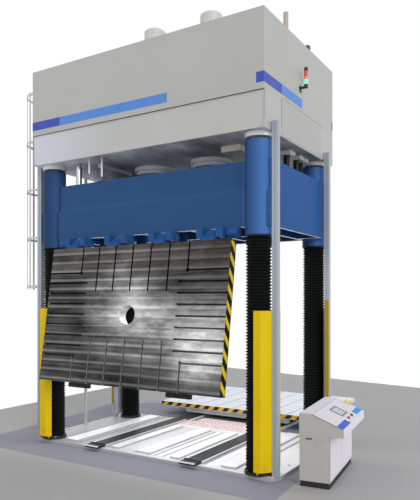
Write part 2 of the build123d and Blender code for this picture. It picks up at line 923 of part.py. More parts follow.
# Signal tower: bracket with base and cap, and three lamp lenses
tower_x = crown_side + tower_reach
base_top = tower_bottom + tower_base_height
green_top = base_top + tower_green_height
amber_top = green_top + tower_amber_height
red_top = amber_top + tower_red_height
with BuildPart() as tower_base:
    block((crown_side, tower_x), (tower_y - tower_arm_width / 2, tower_y + tower_arm_width / 2),
          (tower_bottom, tower_bottom + tower_arm_height))
    block((crown_side, crown_side + tower_arm_height / 2), (tower_y - tower_radius, tower_y + tower_radius),
          (tower_bottom - tower_foot_height / 2, tower_bottom + tower_foot_height / 2))
    disc(tower_x, tower_y, (tower_bottom, base_top), tower_radius)
    disc(tower_x, tower_y, (red_top, red_top + tower_cap_height), tower_radius)
    fillet(tower_base.faces().sort_by(Axis.Z)[-1].edges(), radius=tower_radius / 3)
tower_base.part.label = "tower_base"
export_step(tower_base.part, "parts/tower_base.step")

for lamp_name, low, high in (
    ("tower_green_lamp", base_top, green_top),
    ("tower_amber_lamp", green_top, amber_top),
    ("tower_red_lamp", amber_top, red_top),
):
    with BuildPart() as lamp:
        disc(tower_x, tower_y, (low, high), tower_radius)
    lamp.part.label = lamp_name
    export_step(lamp.part, "parts/" + lamp_name + ".step")

# Light curtain posts with a groove on two faces and a spacer on the crown
post_front_y = -column_y - post_front_offset
post_rear_y = column_y - post_rear_offset
with BuildPart() as corner_posts:
    for side in sides:
        for centre_y in (post_front_y, post_rear_y):
            centre_x = side * (post_inner_x + post_width / 2)
            with BuildSketch(Plane.XY.offset(bed_thickness)):
                with Locations((centre_x, centre_y)):
                    Rectangle(post_width, post_length)
                    for end in sides:
                        with Locations((0, end * (post_length - post_groove_depth) / 2)):
                            Rectangle(post_groove_width, post_groove_depth, mode=Mode.SUBTRACT)
            extrude(amount=post_top - bed_thickness)
            near, far = sorted((side * crown_side, side * post_inner_x))
            block((near, far), (centre_y - post_bracket_length / 2, centre_y + post_bracket_length / 2),
                  (post_top - post_bracket_drop - post_bracket_height / 2, post_top - post_bracket_drop
                   + post_bracket_height / 2))
corner_posts.part.label = "corner_posts"
export_step(corner_posts.part, "parts/corner_posts.step")

# Folded guards: flange, bend and web round the outer side of each column, and two curtain bars
guard_web_distance = post_inner_x - column_x


def guard_points(web_rear):
    """Outer line of a guard about its column, as seen from above at the right front."""
    return [
        (guard_flange_inner, -guard_flange_distance),
        (guard_flange_outer, -guard_flange_distance),
        (guard_web_distance, -guard_web_front),
        (guard_web_distance, web_rear),
    ]


def place_guard_point(point, side_x, side_y, turn):
    """Mirror a guard point to its column and turn it about the column axis."""
    x = side_x * point[0]
    y = -side_y * point[1]
    return (side_x * column_x + x * cos(turn) - y * sin(turn),
            side_y * column_y + x * sin(turn) + y * cos(turn))


def guard_turn(side_x, side_y):
    """Angle of a guard about its column: only the left front one is turned."""
    return radians(turned_guard_angle) if side_x < 0 and side_y < 0 else 0


def guard_arms(side_x, side_y):
    """Two flat arms from the base ring of the bellows out to the web and the flange."""
    half = guard_arm_thickness / 2
    flange_x = (guard_flange_inner + guard_flange_outer) / 2
    flange_start = -(guard_arm_start ** 2 - flange_x ** 2) ** 0.5
    web_end = guard_web_distance - guard_sheet / 2
    flange_end = -guard_flange_distance + guard_sheet / 2
    web_arm = [(guard_arm_start, -half), (web_end, -half), (web_end, half), (guard_arm_start, half)]
    flange_arm = [
        (flange_x - half, flange_start),
        (flange_x + half, flange_start),
        (flange_x + half, flange_end),
        (flange_x - half, flange_end),
    ]
    turn = guard_turn(side_x, side_y)
    arms = (web_arm, flange_arm)
    return [[place_guard_point(point, side_x, side_y, turn) for point in arm] for arm in arms]


def guard_strip(side_x, side_y):
    """Points round the folded sheet of one guard."""
    turn = guard_turn(side_x, side_y)
    web_rear = turned_guard_web_rear if turn else guard_web_rear
    outer = guard_points(web_rear)
    bend = guard_sheet * 0.42
    inner = [
        (outer[0][0], outer[0][1] + guard_sheet),
        (outer[1][0] - bend, outer[1][1] + guard_sheet),
        (outer[2][0] - guard_sheet, outer[2][1] + bend),
        (outer[3][0] - guard_sheet, outer[3][1]),
    ]
    loop = outer + inner[::-1]
    return [place_guard_point(point, side_x, side_y, turn) for point in loop]


bar_inner_x = post_inner_x + post_width - curtain_bar_width
post_face_y = post_rear_y - post_length / 2
with BuildPart() as column_guards:
    for side_x in sides:
        for side_y in sides:
            corners = guard_strip(side_x, side_y)
            with BuildSketch(Plane.XY.offset(guard_bottom)):
                with BuildLine():
                    Polyline(*corners, close=True)
                make_face()
            extrude(amount=guard_top - guard_bottom)
            with BuildSketch(Plane.XY.offset(bed_thickness + bellows_base_height)):
                for arm in guard_arms(side_x, side_y):
                    with BuildLine():
                        Polyline(*arm, close=True)
                    make_face()
            extrude(amount=guard_bottom - bed_thickness - bellows_base_height + guard_arm_rise)
    for side in sides:
        bar_x = sorted((side * bar_inner_x, side * (bar_inner_x + curtain_bar_width)))
        block(bar_x, (post_face_y - curtain_bar_depth, post_face_y), (curtain_bar_bottom, curtain_bar_top))
column_guards.part.label = "column_guards"
export_step(column_guards.part, "parts/column_guards.step")

# Conduit on the left side, from the bed to the crown
conduit_x = -crown_side - cover_sheet - conduit_radius
with BuildPart() as side_conduit:
    disc(conduit_x, 0, (bed_thickness, bed_thickness + conduit_foot_height), conduit_foot_radius)
    disc(conduit_x, 0, (bed_thickness, post_top), conduit_radius)
side_conduit.part.label = "side_conduit"
export_step(side_conduit.part, "parts/side_conduit.step")

# Ladder on the left side with a safety cage
ladder_y = (ladder_front_y + ladder_rear_y) / 2
ladder_x = crown_side + ladder_gap
stile_top = roof_top - stile_drop
rung_count = int((stile_top - rung_first) / rung_pitch) + 1
standoff_heights = (beam_top + standoff_above_beam, stile_top - standoff_below_top)
with BuildPart() as ladder:
    for y in (ladder_front_y, ladder_rear_y):
        block((-ladder_x - stile_width / 2, -ladder_x + stile_width / 2),
              (y - stile_thickness / 2, y + stile_thickness / 2), (0, stile_top))
        for z in standoff_heights:
            block((-ladder_x + stile_width / 2 + fitting_gap, -crown_side),
                  (y - standoff_thickness / 2, y + standoff_thickness / 2),
                  (z - standoff_height / 2, z + standoff_height / 2))
    rung_length = ladder_rear_y - ladder_front_y - stile_thickness - 2 * fitting_gap
    rung_plane = Plane(origin=(-ladder_x, ladder_y - rung_length / 2, 0), x_dir=(1, 0, 0), z_dir=(0, 1, 0))
    with BuildSketch(rung_plane):
        for index in range(rung_count):
            with Locations((0, -(rung_first + index * rung_pitch))):
                Circle(rung_radius)
    extrude(amount=rung_length)
ladder.part.label = "ladder"
export_step(ladder.part, "parts/ladder.step")

cage_x = -ladder_x - cage_offset
hoop_last = stile_top - hoop_below_top
hoop_pitch = (hoop_last - hoop_first) / (hoop_count - 1)
hoop_low = hoop_first - hoop_height / 2
with BuildPart() as cage_hoops:
    for index in range(hoop_count):
        with BuildSketch(Plane.XY.offset(hoop_low + index * hoop_pitch)):
            with Locations((cage_x, ladder_y)):
                Circle(cage_radius)
                Circle(cage_radius - hoop_thickness, mode=Mode.SUBTRACT)
            with Locations((-ladder_x - stile_width / 2 + cage_radius, ladder_y)):
                Rectangle(2 * cage_radius, 2 * cage_radius, mode=Mode.SUBTRACT)
            for end_y, way in ((ladder_front_y, -1), (ladder_rear_y, 1)):
                reach = (cage_radius ** 2 - (cage_offset - stile_width / 2) ** 2) ** 0.5
                edge = ladder_y + way * reach
                with Locations((-ladder_x - stile_width / 2 - hoop_thickness / 2, (edge + end_y) / 2
                                - way * stile_thickness / 4)):
                    Rectangle(hoop_thickness, abs(edge - end_y) + stile_thickness / 2)
        extrude(amount=hoop_height)
cage_hoops.part.label = "cage_hoops"
export_step(cage_hoops.part, "parts/cage_hoops.step")

hoop_inner_radius = cage_radius - hoop_thickness
strip_centre_radius = (hoop_inner_radius ** 2 - (strip_width / 2) ** 2) ** 0.5 - strip_thickness / 2
with BuildPart() as cage_strips:
    with BuildSketch(Plane.XY.offset(hoop_first - hoop_height / 2 - strip_overhang)):
        for angle in strip_angles:
            with Locations((cage_x, ladder_y)):
                with PolarLocations(strip_centre_radius, 1, start_angle=angle):
                    Rectangle(strip_thickness, strip_width)
    extrude(amount=hoop_last - hoop_first + hoop_height + 2 * strip_overhang)
cage_strips.part.label = "cage_strips"
export_step(cage_strips.part, "parts/cage_strips.step")

# Crosshead: welded box on four guide sleeves, cells open below
crosshead_side = crown_side - crosshead_side_inset
crosshead_front = -column_y - crosshead_overlap
crosshead_rear = column_y + crosshead_overlap
cell_top = crosshead_top - crosshead_top_plate
crosshead_cell_half_width = column_x - crosshead_cell_margin
end_cell_inner_x = column_x - end_cell_margin
hinge_y = crosshead_front + hinge_setback
hinge_z = crosshead_bottom - hinge_drop
cells_across = 2 * crosshead_cell_half_width - (crosshead_cell_columns - 1) * crosshead_web
cell_width = cells_across / crosshead_cell_columns
cell_depth = crosshead_rear - crosshead_wall - crosshead_web / 2
closed_back = hinge_z - platen_back_offset
stop_places = [(side * x, y) for side in sides for x in (stop_pad_x, stop_pad_x / 3)
               for y in (stop_pad_front_y, stop_pad_rear_y)]
with BuildPart() as crosshead:
    with BuildSketch(Plane(origin=(-crosshead_side, 0, 0), x_dir=(0, 1, 0), z_dir=(1, 0, 0))):
        with BuildLine():
            Polyline(
                (crosshead_front, crosshead_bottom),
                (crosshead_front, crosshead_ledge_low),
                (crosshead_front + crosshead_ledge_depth, crosshead_ledge_high),
                (crosshead_front + crosshead_ledge_depth, crosshead_top),
                (crosshead_rear, crosshead_top),
                (crosshead_rear, crosshead_bottom),
                close=True,
            )
        make_face()
    extrude(amount=2 * crosshead_side)
    with BuildSketch(Plane.XY.offset(crosshead_bottom)):
        for row_y in (-cell_depth / 2 - crosshead_web / 2, cell_depth / 2 + crosshead_web / 2):
            with Locations((0, row_y)):
                with GridLocations(cell_width + crosshead_web, 1, crosshead_cell_columns, 1):
                    Rectangle(cell_width, cell_depth)
        for side in sides:
            end_cell_width = crosshead_side - end_cell_wall - end_cell_inner_x
            with Locations((side * (end_cell_inner_x + end_cell_width / 2), 0)):
                Rectangle(end_cell_width, 2 * end_cell_half_depth)
    extrude(amount=cell_top - crosshead_bottom, mode=Mode.SUBTRACT)
    for x, y in column_places:
        disc(x, y, (crosshead_bottom, crosshead_top), sleeve_radius + fitting_gap, Mode.SUBTRACT)
    for x, y in column_places:
        disc(x, y, (sleeve_bottom, sleeve_top), sleeve_radius)
        disc(x, y, (sleeve_bottom, sleeve_top), sleeve_bore_radius, Mode.SUBTRACT)
    for x, y in stop_places:
        disc(x, y, (closed_back + stop_gap, cell_top - fitting_gap), stop_pad_radius)
crosshead.part.label = "crosshead"
export_step(crosshead.part, "parts/crosshead.step")

bush_ranges = (
    (sleeve_bottom + bush_margin, sleeve_bottom + bush_margin + bush_length),
    (sleeve_top - bush_margin - bush_length, sleeve_top - bush_margin),
)
with BuildPart() as guide_bushes:
    for low, high in bush_ranges:
        with BuildSketch(Plane.XY.offset(low)):
            with Locations(column_places):
                Circle(sleeve_bore_radius - fitting_gap)
                Circle(column_radius + running_gap, mode=Mode.SUBTRACT)
        extrude(amount=high - low)
guide_bushes.part.label = "guide_bushes"
export_step(guide_bushes.part, "parts/guide_bushes.step")

with BuildPart() as wiper_seals:
    with BuildSketch(Plane.XY.offset(sleeve_top)):
        with Locations(column_places):
            Circle(wiper_radius)
            Circle(column_radius + running_gap, mode=Mode.SUBTRACT)
    extrude(amount=wiper_height)
wiper_seals.part.label = "wiper_seals"
export_step(wiper_seals.part, "parts/wiper_seals.step")

# Hinge brackets: two rounded ears each, with a nose in front, bored for the pin
ear_offset = (bracket_width - ear_width) / 2
bracket_outer_x = half_width - bracket_outer_inset
bracket_x_values = (-bracket_outer_x, -bracket_inner_x, bracket_inner_x, bracket_outer_x)
with BuildPart() as hinge_brackets:
    for bracket_x in bracket_x_values:
        for ear_side in sides:
            ear_start = bracket_x + ear_side * ear_offset - ear_width / 2
            with BuildSketch(Plane(origin=(ear_start, hinge_y, hinge_z), x_dir=(0, 1, 0), z_dir=(1, 0, 0))):
                Circle(ear_radius)
                with BuildLine():
                    Polyline(
                        (ear_depth / 2, 0),
                        (ear_depth / 2, crosshead_bottom - hinge_z),
                        (-ear_radius - ear_nose, crosshead_bottom - hinge_z),
                        (-ear_radius - ear_nose, -ear_nose_drop),
                        (-ear_radius * 0.6, -ear_radius * 0.8),
                        (0, 0),
                        close=True,
                    )
                make_face()
                Circle(pin_radius + running_gap, mode=Mode.SUBTRACT)
            extrude(amount=ear_width)
hinge_brackets.part.label = "hinge_brackets"
export_step(hinge_brackets.part, "parts/hinge_brackets.step")

# Rotary actuators at both ends of the hinge line
actuator_start = max(bracket_x_values) + bracket_width / 2 + pin_head_thickness + actuator_gap
with BuildPart() as tilt_actuators:
    for side in sides:
        near = actuator_start if side > 0 else -actuator_start - actuator_length
        bore_start = near if side > 0 else near + actuator_length - pin_in_actuator - actuator_gap
        with BuildSketch(Plane(origin=(near, hinge_y, hinge_z), x_dir=(0, 1, 0), z_dir=(1, 0, 0))):
            Circle(actuator_radius)
            with Locations((0, (crosshead_bottom - hinge_z) / 2)):
                Rectangle(actuator_foot_width, crosshead_bottom - hinge_z)
        extrude(amount=actuator_length)
        with BuildSketch(Plane(origin=(bore_start, hinge_y, hinge_z), x_dir=(0, 1, 0), z_dir=(1, 0, 0))):
            Circle(pin_radius + running_gap)
        extrude(amount=pin_in_actuator + actuator_gap, mode=Mode.SUBTRACT)
tilt_actuators.part.label = "tilt_actuators"
export_step(tilt_actuators.part, "parts/tilt_actuators.step")

# Pins that turn with the platen, the outer two reaching into the actuators
with BuildPart() as hinge_pins:
    for bracket_x in bracket_x_values:
        low = bracket_x - bracket_width / 2
        high = bracket_x + bracket_width / 2
        outermost = bracket_x in (min(bracket_x_values), max(bracket_x_values))
        drive_length = actuator_gap + pin_head_thickness + pin_in_actuator
        start = low - drive_length if outermost and bracket_x < 0 else low
        end = high + drive_length if outermost and bracket_x > 0 else high
        with BuildSketch(Plane(origin=(start, hinge_y, hinge_z), x_dir=(0, 1, 0), z_dir=(1, 0, 0))):
            Circle(pin_radius)
        extrude(amount=end - start)
        for head_start in (low - pin_head_thickness, high):
            with BuildSketch(Plane(origin=(head_start, hinge_y, hinge_z), x_dir=(0, 1, 0), z_dir=(1, 0, 0))):
                Circle(pin_head_radius)
            extrude(amount=pin_head_thickness)
hinge_pins.part.label = "hinge_pins"
export_step(hinge_pins.part, "parts/hinge_pins.step")

# Upper platen, drawn on its own plane: up the hanging plate and out of its face
lean = radians(platen_lean)
outward = Vector(0, -cos(lean), sin(lean))
upward = Vector(0, sin(lean), cos(lean))
hinge_point = Vector(0, hinge_y, hinge_z)
face_offset = platen_back_offset + platen_thickness
platen_middle = -platen_edge_offset - platen_height / 2
free_edge = -platen_edge_offset - platen_height
outer_slot_x = half_width - outer_slot_inset
row_slot_inner_x = half_width - row_slot_inset
pad_x = half_width - pad_inset


def platen_plane(along, out):
    """Plane parallel to the platen, at a distance up it and out from the hinge line."""
    return Plane(origin=hinge_point + upward * along + outward * out, x_dir=(1, 0, 0), z_dir=outward)


def slot_down(x, edge_y, length, width):
    """Slot from the upper or lower edge with a round inner end."""
    inner_y = edge_y - length if edge_y > 0 else edge_y + length
    with Locations((x, (edge_y + inner_y) / 2)):
        Rectangle(width, length)
    with Locations((x, inner_y)):
        Circle(width / 2)


def slot_across(y, edge_x, inner_x, width):
    """Slot from a side edge with a round inner end."""
    with Locations(((edge_x + inner_x) / 2, y)):
        Rectangle(abs(edge_x - inner_x), width)
    with Locations((inner_x, y)):
        Circle(width / 2)


def platen_slots(width):
    """All slots of the platen at one width."""
    for edge_y in (-half_height, half_height):
        for step in range(-2, 3):
            slot_down(step * column_slot_pitch, edge_y, column_slot_length, width)
        for side in sides:
            slot_down(side * outer_slot_x, edge_y, outer_slot_length, width)
    outer_row = (row_slot_count - 1) // 2
    for row in range(-outer_row, outer_row + 1):
        inner_x = outer_slot_x if abs(row) == outer_row else row_slot_inner_x
        for side in sides:
            slot_across(row * row_slot_pitch, side * half_width, side * inner_x, width)
    entry_y = outer_row * row_slot_pitch
    with Locations([(side * outer_slot_x, end * entry_y) for side in sides for end in sides]):
        Circle(slot_entry_radius)


with BuildPart() as upper_platen:
    with BuildSketch(platen_plane(platen_middle, platen_back_offset)):
        Rectangle(platen_width, platen_height)
        Circle(platen_bore_radius, mode=Mode.SUBTRACT)
    extrude(amount=platen_thickness)
    with BuildSketch(platen_plane(platen_middle, face_offset)):
        platen_slots(slot_neck_width)
    extrude(amount=-slot_neck_depth, mode=Mode.SUBTRACT)
    with BuildSketch(platen_plane(platen_middle, face_offset - slot_neck_depth)):
        platen_slots(slot_head_width)
    extrude(amount=-slot_head_depth, mode=Mode.SUBTRACT)
upper_platen.part.label = "upper_platen"
export_step(upper_platen.part, "parts/upper_platen.step")

# Knuckles on the upper edge of the platen, bored for the pins
knuckle_width = bracket_width - 2 * ear_width - 2 * knuckle_gap
with BuildPart() as platen_knuckles:
    for bracket_x in bracket_x_values:
        knuckle_origin = hinge_point + Vector(bracket_x - knuckle_width / 2, 0, 0)
        with BuildSketch(Plane(origin=knuckle_origin, x_dir=outward, z_dir=(-1, 0, 0))):
            Circle(knuckle_radius)
            with BuildLine():
                Polyline(
                    (-knuckle_radius, 0),
                    (0, knuckle_radius),
                    (face_offset - knuckle_back_margin, -platen_edge_offset + knuckle_radius / 2),
                    (face_offset - knuckle_back_margin, -platen_edge_offset),
                    (platen_back_offset, -platen_edge_offset),
                    close=True,
                )
            make_face()
            Circle(pin_radius + fitting_gap, mode=Mode.SUBTRACT)
        extrude(amount=-knuckle_width)
platen_knuckles.part.label = "platen_knuckles"
export_step(platen_knuckles.part, "parts/platen_knuckles.step")

# Locking pads on the free edge
with BuildPart() as platen_pads:
    with BuildSketch(platen_plane(free_edge - pad_height / 2, face_offset - pad_setback - pad_thickness)):
        with Locations((-pad_x, 0), (pad_x, 0)):
            Rectangle(pad_width, pad_height)
    extrude(amount=pad_thickness)
    chamfer(platen_pads.edges().filter_by(Axis.X).group_by(Axis.Z)[0], length=pad_height / 8)
platen_pads.part.label = "platen_pads"
export_step(platen_pads.part, "parts/platen_pads.step")

# Lower table with T-slots from front to rear
table_y = (table_front + table_rear) / 2
table_bottom = table_top - table_thickness
with BuildPart() as lower_table:
    with BuildSketch(Plane.XY.offset(table_bottom)):
        with Locations((0, table_y)):
            Rectangle(table_width, table_length)
    extrude(amount=table_thickness)
    for width, level, depth in (
        (slot_neck_width, table_top, slot_neck_depth),
        (slot_head_width, table_top - slot_neck_depth, slot_head_depth),
    ):
        with BuildSketch(Plane.XY.offset(level)):
            with Locations((0, table_y)):
                with GridLocations(table_slot_pitch, 1, table_slot_count, 1):
                    Rectangle(width, table_length)
        extrude(amount=-depth, mode=Mode.SUBTRACT)
lower_table.part.label = "lower_table"
export_step(lower_table.part, "parts/lower_table.step")

# Carriage under the table: cross beams, and channels that hold the wheels
cross_low = table_bottom - cross_beam_height
carriage_width = 2 * (track_x + side_beam_width / 2 + carriage_overhang)
carriage_front = table_front + carriage_setback
carriage_rear = table_rear - carriage_setback
side_beam_range = (carriage_front + cross_beam_depth, carriage_rear - cross_beam_depth)
wheel_z = track_top + wheel_track_gap + wheel_radius
axle_y_values = (carriage_front + axle_from_end, carriage_rear - axle_from_end)
with BuildPart() as table_carriage:
    with BuildSketch(Plane.XY.offset(cross_low)):
        with Locations((0, carriage_front + cross_beam_depth / 2), (0, carriage_rear - cross_beam_depth / 2)):
            Rectangle(carriage_width, cross_beam_depth)
    extrude(amount=cross_beam_height)
    for side in sides:
        low_x = side * track_x - side_beam_width / 2
        high_x = side * track_x + side_beam_width / 2
        block((low_x, high_x), side_beam_range, (table_bottom - side_beam_height, table_bottom))
        block((low_x + side_beam_wall, high_x - side_beam_wall), side_beam_range,
              (table_bottom - side_beam_height, table_bottom - side_beam_wall), Mode.SUBTRACT)
        for axle_y in axle_y_values:
            with BuildSketch(Plane(origin=(low_x, axle_y, wheel_z), x_dir=(0, 1, 0), z_dir=(1, 0, 0))):
                Circle(axle_radius + running_gap)
            extrude(amount=side_beam_width, mode=Mode.SUBTRACT)
table_carriage.part.label = "table_carriage"
export_step(table_carriage.part, "parts/table_carriage.step")

axle_end = track_x + side_beam_width / 2 + axle_overhang
for wheelset_name, axle_y in zip(("front_wheelset", "rear_wheelset"), axle_y_values):
    with BuildPart() as wheelset:
        with BuildSketch(Plane(origin=(-axle_end, axle_y, wheel_z), x_dir=(0, 1, 0), z_dir=(1, 0, 0))):
            Circle(axle_radius)
        extrude(amount=2 * axle_end)
        for side in sides:
            wheel_start = side * track_x - wheel_width / 2
            with BuildSketch(Plane(origin=(wheel_start, axle_y, wheel_z), x_dir=(0, 1, 0), z_dir=(1, 0, 0))):
                Circle(wheel_radius)
            extrude(amount=wheel_width)
    wheelset.part.label = wheelset_name
    export_step(wheelset.part, "parts/" + wheelset_name + ".step")

# Gearbox on the rear axle with its motor
rear_axle_y = axle_y_values[1]
with BuildPart() as table_gearmotor:
    block((gearbox_x - gearbox_width / 2, gearbox_x + gearbox_width / 2),
          (rear_axle_y - gearbox_length / 2, rear_axle_y + gearbox_length / 2),
          (wheel_z - gearbox_radius, table_bottom))
    with BuildSketch(Plane(origin=(gearbox_x, rear_axle_y - gearbox_length / 2, wheel_z),
                           x_dir=(1, 0, 0), z_dir=(0, -1, 0))):
        Circle(gear_motor_radius)
    extrude(amount=gear_motor_length)
    with BuildSketch(Plane(origin=(gearbox_x - gearbox_width / 2, rear_axle_y, wheel_z),
                           x_dir=(0, 1, 0), z_dir=(1, 0, 0))):
        Circle(axle_radius + running_gap)
    extrude(amount=gearbox_width, mode=Mode.SUBTRACT)
table_gearmotor.part.label = "table_gearmotor"
export_step(table_gearmotor.part, "parts/table_gearmotor.step")

# Console frame of reference: along its length, and from the operator to the machine
turn = radians(console_turn)
along_axis = Vector(-sin(turn), cos(turn), 0)
inward_axis = Vector(-cos(turn), -sin(turn), 0)
console_corner = Vector(console_corner_x, console_corner_y, 0)


def console_end_plane(along):
    """Upright plane across the console at a distance from its near end."""
    return Plane(origin=console_corner + along_axis * along, x_dir=inward_axis, z_dir=along_axis)


def console_floor_plane(height):
    """Level plane at a height, centred on the console."""
    middle = along_axis * (console_length / 2) + inward_axis * (console_depth / 2)
    return Plane(origin=console_corner + middle + Vector(0, 0, height), x_dir=inward_axis, z_dir=(0, 0, 1))


slope_run = console_nose + console_slope_start
slope_rise = console_top - console_nose_top
slope_length = (slope_run ** 2 + slope_rise ** 2) ** 0.5
slope_down = (inward_axis * -slope_run + Vector(0, 0, -slope_rise)) * (1 / slope_length)
slope_normal = along_axis.cross(slope_down) * -1
if slope_normal.Z < 0:
    slope_normal = slope_normal * -1
slope_top = console_corner + inward_axis * console_slope_start + Vector(0, 0, console_top)


def desk_plane(along, down, out=0):
    """Plane on the sloping desk: X along the console, Y up the slope."""
    origin = slope_top + along_axis * along + slope_down * down + slope_normal * out
    return Plane(origin=origin, x_dir=along_axis, z_dir=slope_normal)


with BuildPart() as console_plinth:
    with BuildSketch(console_end_plane(console_plinth_inset)):
        with Locations((console_depth / 2, console_plinth_height / 2)):
            Rectangle(console_depth - 2 * console_plinth_inset, console_plinth_height)
    extrude(amount=console_length - 2 * console_plinth_inset)
console_plinth.part.label = "console_plinth"
export_step(console_plinth.part, "parts/console_plinth.step")

# Lower cabinet, a sheet box with a hatch on its near end
with BuildPart() as console_cabinet:
    with BuildSketch(console_end_plane(console_inset)):
        with BuildLine():
            Polyline(
                (console_inset, console_plinth_height),
                (console_depth - console_inset, console_plinth_height),
                (console_depth - console_inset, console_hood_bottom),
                (console_inset, console_hood_bottom),
                close=True,
            )
        make_face()
    extrude(amount=console_length - 2 * console_inset)
    with BuildSketch(console_end_plane(console_inset - hatch_thickness)):
        with Locations((hatch_across, hatch_low + hatch_height / 2)):
            RectangleRounded(hatch_width, hatch_height, hatch_thickness)
    extrude(amount=2 * hatch_thickness)
    with BuildSketch(console_end_plane(console_inset + console_sheet)):
        with Locations((console_depth / 2, (console_plinth_height + console_hood_bottom) / 2)):
            Rectangle(console_depth - 2 * console_inset - 2 * console_sheet,
                      console_hood_bottom - console_plinth_height - 2 * console_sheet)
    extrude(amount=console_length - 2 * console_inset - 2 * console_sheet, mode=Mode.SUBTRACT)
    with BuildSketch(console_floor_plane(console_plinth_height)):
        Circle(console_cable_hole)
    extrude(amount=console_hood_bottom - console_plinth_height, mode=Mode.SUBTRACT)
console_cabinet.part.label = "console_cabinet"
export_step(console_cabinet.part, "parts/console_cabinet.step")

# Hood with the sloping desk, folded over the cabinet and out towards the operator
with BuildPart() as console_hood:
    with BuildSketch(console_end_plane(0)):
        with BuildLine():
            Polyline(
                (-console_nose, console_hood_bottom),
                (console_depth, console_hood_bottom),
                (console_depth, console_top),
                (console_slope_start, console_top),
                (-console_nose, console_nose_top),
                close=True,
            )
        make_face()
    extrude(amount=console_length)
    with BuildSketch(console_end_plane(console_sheet)):
        with BuildLine():
            Polyline(
                (-console_nose, console_hood_bottom),
                (console_depth, console_hood_bottom),
                (console_depth, console_top),
                (console_slope_start, console_top),
                (-console_nose, console_nose_top),
                close=True,
            )
        make_face()
        offset(amount=-console_sheet, mode=Mode.REPLACE)
    extrude(amount=console_length - 2 * console_sheet, mode=Mode.SUBTRACT)
    with BuildSketch(console_floor_plane(console_hood_bottom)):
        Circle(console_cable_hole)
    extrude(amount=console_sheet, mode=Mode.SUBTRACT)
console_hood.part.label = "console_hood"
export_step(console_hood.part, "parts/console_hood.step")

with BuildPart() as console_screen:
    with BuildSketch(desk_plane(screen_along, screen_down_slope)):
        RectangleRounded(screen_width + 2 * screen_bezel, screen_height + 2 * screen_bezel, screen_bezel / 2)
    extrude(amount=screen_bezel_height)
    with BuildSketch(desk_plane(screen_along, screen_down_slope, screen_bezel_height - screen_glass_drop)):
        Rectangle(screen_width, screen_height)
    extrude(amount=screen_glass_drop, mode=Mode.SUBTRACT)
console_screen.part.label = "console_screen"
export_step(console_screen.part, "parts/console_screen.step")

# Push buttons stand on the desk in a collar, and travel into it
button_rest = button_stroke + seat_gap
button_places = (
    ("start_button", start_button_along, button_radius),
    ("stop_button", stop_button_along, stop_button_radius),
)
with BuildPart() as button_collars:
    for name, along, radius in button_places:
        ring = radius + button_collar_radius - button_radius
        with BuildSketch(desk_plane(along, button_down_slope)):
            Circle(ring)
            Circle(radius + running_gap, mode=Mode.SUBTRACT)
        extrude(amount=button_collar_height)
button_collars.part.label = "button_collars"
export_step(button_collars.part, "parts/button_collars.step")

for name, along, radius in button_places:
    with BuildPart() as button:
        with BuildSketch(desk_plane(along, button_down_slope, button_rest)):
            Circle(radius)
        extrude(amount=button_height)
        chamfer(button.faces().sort_by(Axis.Z)[-1].edges(), length=button_collar_height / 3)
    button.part.label = name
    export_step(button.part, "parts/" + name + ".step")

for index, down in enumerate(selector_down_values):
    with BuildPart() as selector:
        with BuildSketch(desk_plane(selector_along, down, seat_gap)):
            Circle(selector_radius)
        extrude(amount=selector_height)
        with BuildSketch(desk_plane(selector_along, down, seat_gap)):
            Rectangle(selector_grip_width, 2 * selector_radius)
        extrude(amount=selector_height + selector_grip_height)
    selector.part.label = "selector_" + str(index + 1)
    export_step(selector.part, "parts/selector_" + str(index + 1) + ".step")
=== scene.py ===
import json
import math

import bpy
from mathutils import Matrix, Vector


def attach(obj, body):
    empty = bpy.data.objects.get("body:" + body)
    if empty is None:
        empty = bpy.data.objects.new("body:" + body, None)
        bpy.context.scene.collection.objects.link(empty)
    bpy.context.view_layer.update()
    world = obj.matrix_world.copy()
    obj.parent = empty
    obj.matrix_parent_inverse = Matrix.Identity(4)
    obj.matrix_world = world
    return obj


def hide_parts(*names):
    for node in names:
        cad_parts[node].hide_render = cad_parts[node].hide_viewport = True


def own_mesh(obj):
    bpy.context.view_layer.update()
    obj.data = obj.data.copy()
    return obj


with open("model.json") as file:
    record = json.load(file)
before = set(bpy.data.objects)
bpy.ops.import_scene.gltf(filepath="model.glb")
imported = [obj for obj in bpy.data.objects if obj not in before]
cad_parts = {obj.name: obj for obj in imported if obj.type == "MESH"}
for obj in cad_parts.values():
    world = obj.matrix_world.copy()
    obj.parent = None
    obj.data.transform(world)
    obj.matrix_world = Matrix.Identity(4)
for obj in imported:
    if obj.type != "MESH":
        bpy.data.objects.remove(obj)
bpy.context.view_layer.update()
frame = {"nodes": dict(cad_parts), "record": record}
NODES = frame["nodes"]

X_AXIS, Y_AXIS, Z_AXIS, DOWNWARD = (1, 0, 0), (0, 1, 0), (0, 0, 1), (0, 0, -1)


# ---------------------------------------------------------------- colours
def srgb(red, green, blue):
    """Linear colour of an 8-bit display colour."""
    def linear(value):
        value = value / 255
        return value / 12.92 if value <= 0.04045 else ((value + 0.055) / 1.055) ** 2.4
    return (linear(red), linear(green), linear(blue), 1.0)


def scaled(colour, factor):
    """The colour times a factor, held at white."""
    return tuple(min(1.0, channel * factor) for channel in colour[:3]) + (1.0,)


WHITE_PAINT, YELLOW, BLACK = srgb(226, 228, 230), srgb(228, 196, 14), srgb(18, 18, 17)

# ------------------------------------------- places that the shaders look at
# Columns, how far the crosshead's sleeves reach round them, and the height under which the
# crosshead's undersides are pale
COLUMN_X, COLUMN_Y = 2.0335, 1.0635
SLEEVE_REACH, PALE_BELOW = 0.235, 3.56

# The pale guard stands left of and behind these; the hatch is plain in front of its place
PALE_GUARD_X, PALE_GUARD_FRONT = -1.0, 0.86
HATCH_PLAIN_TO = 0.93

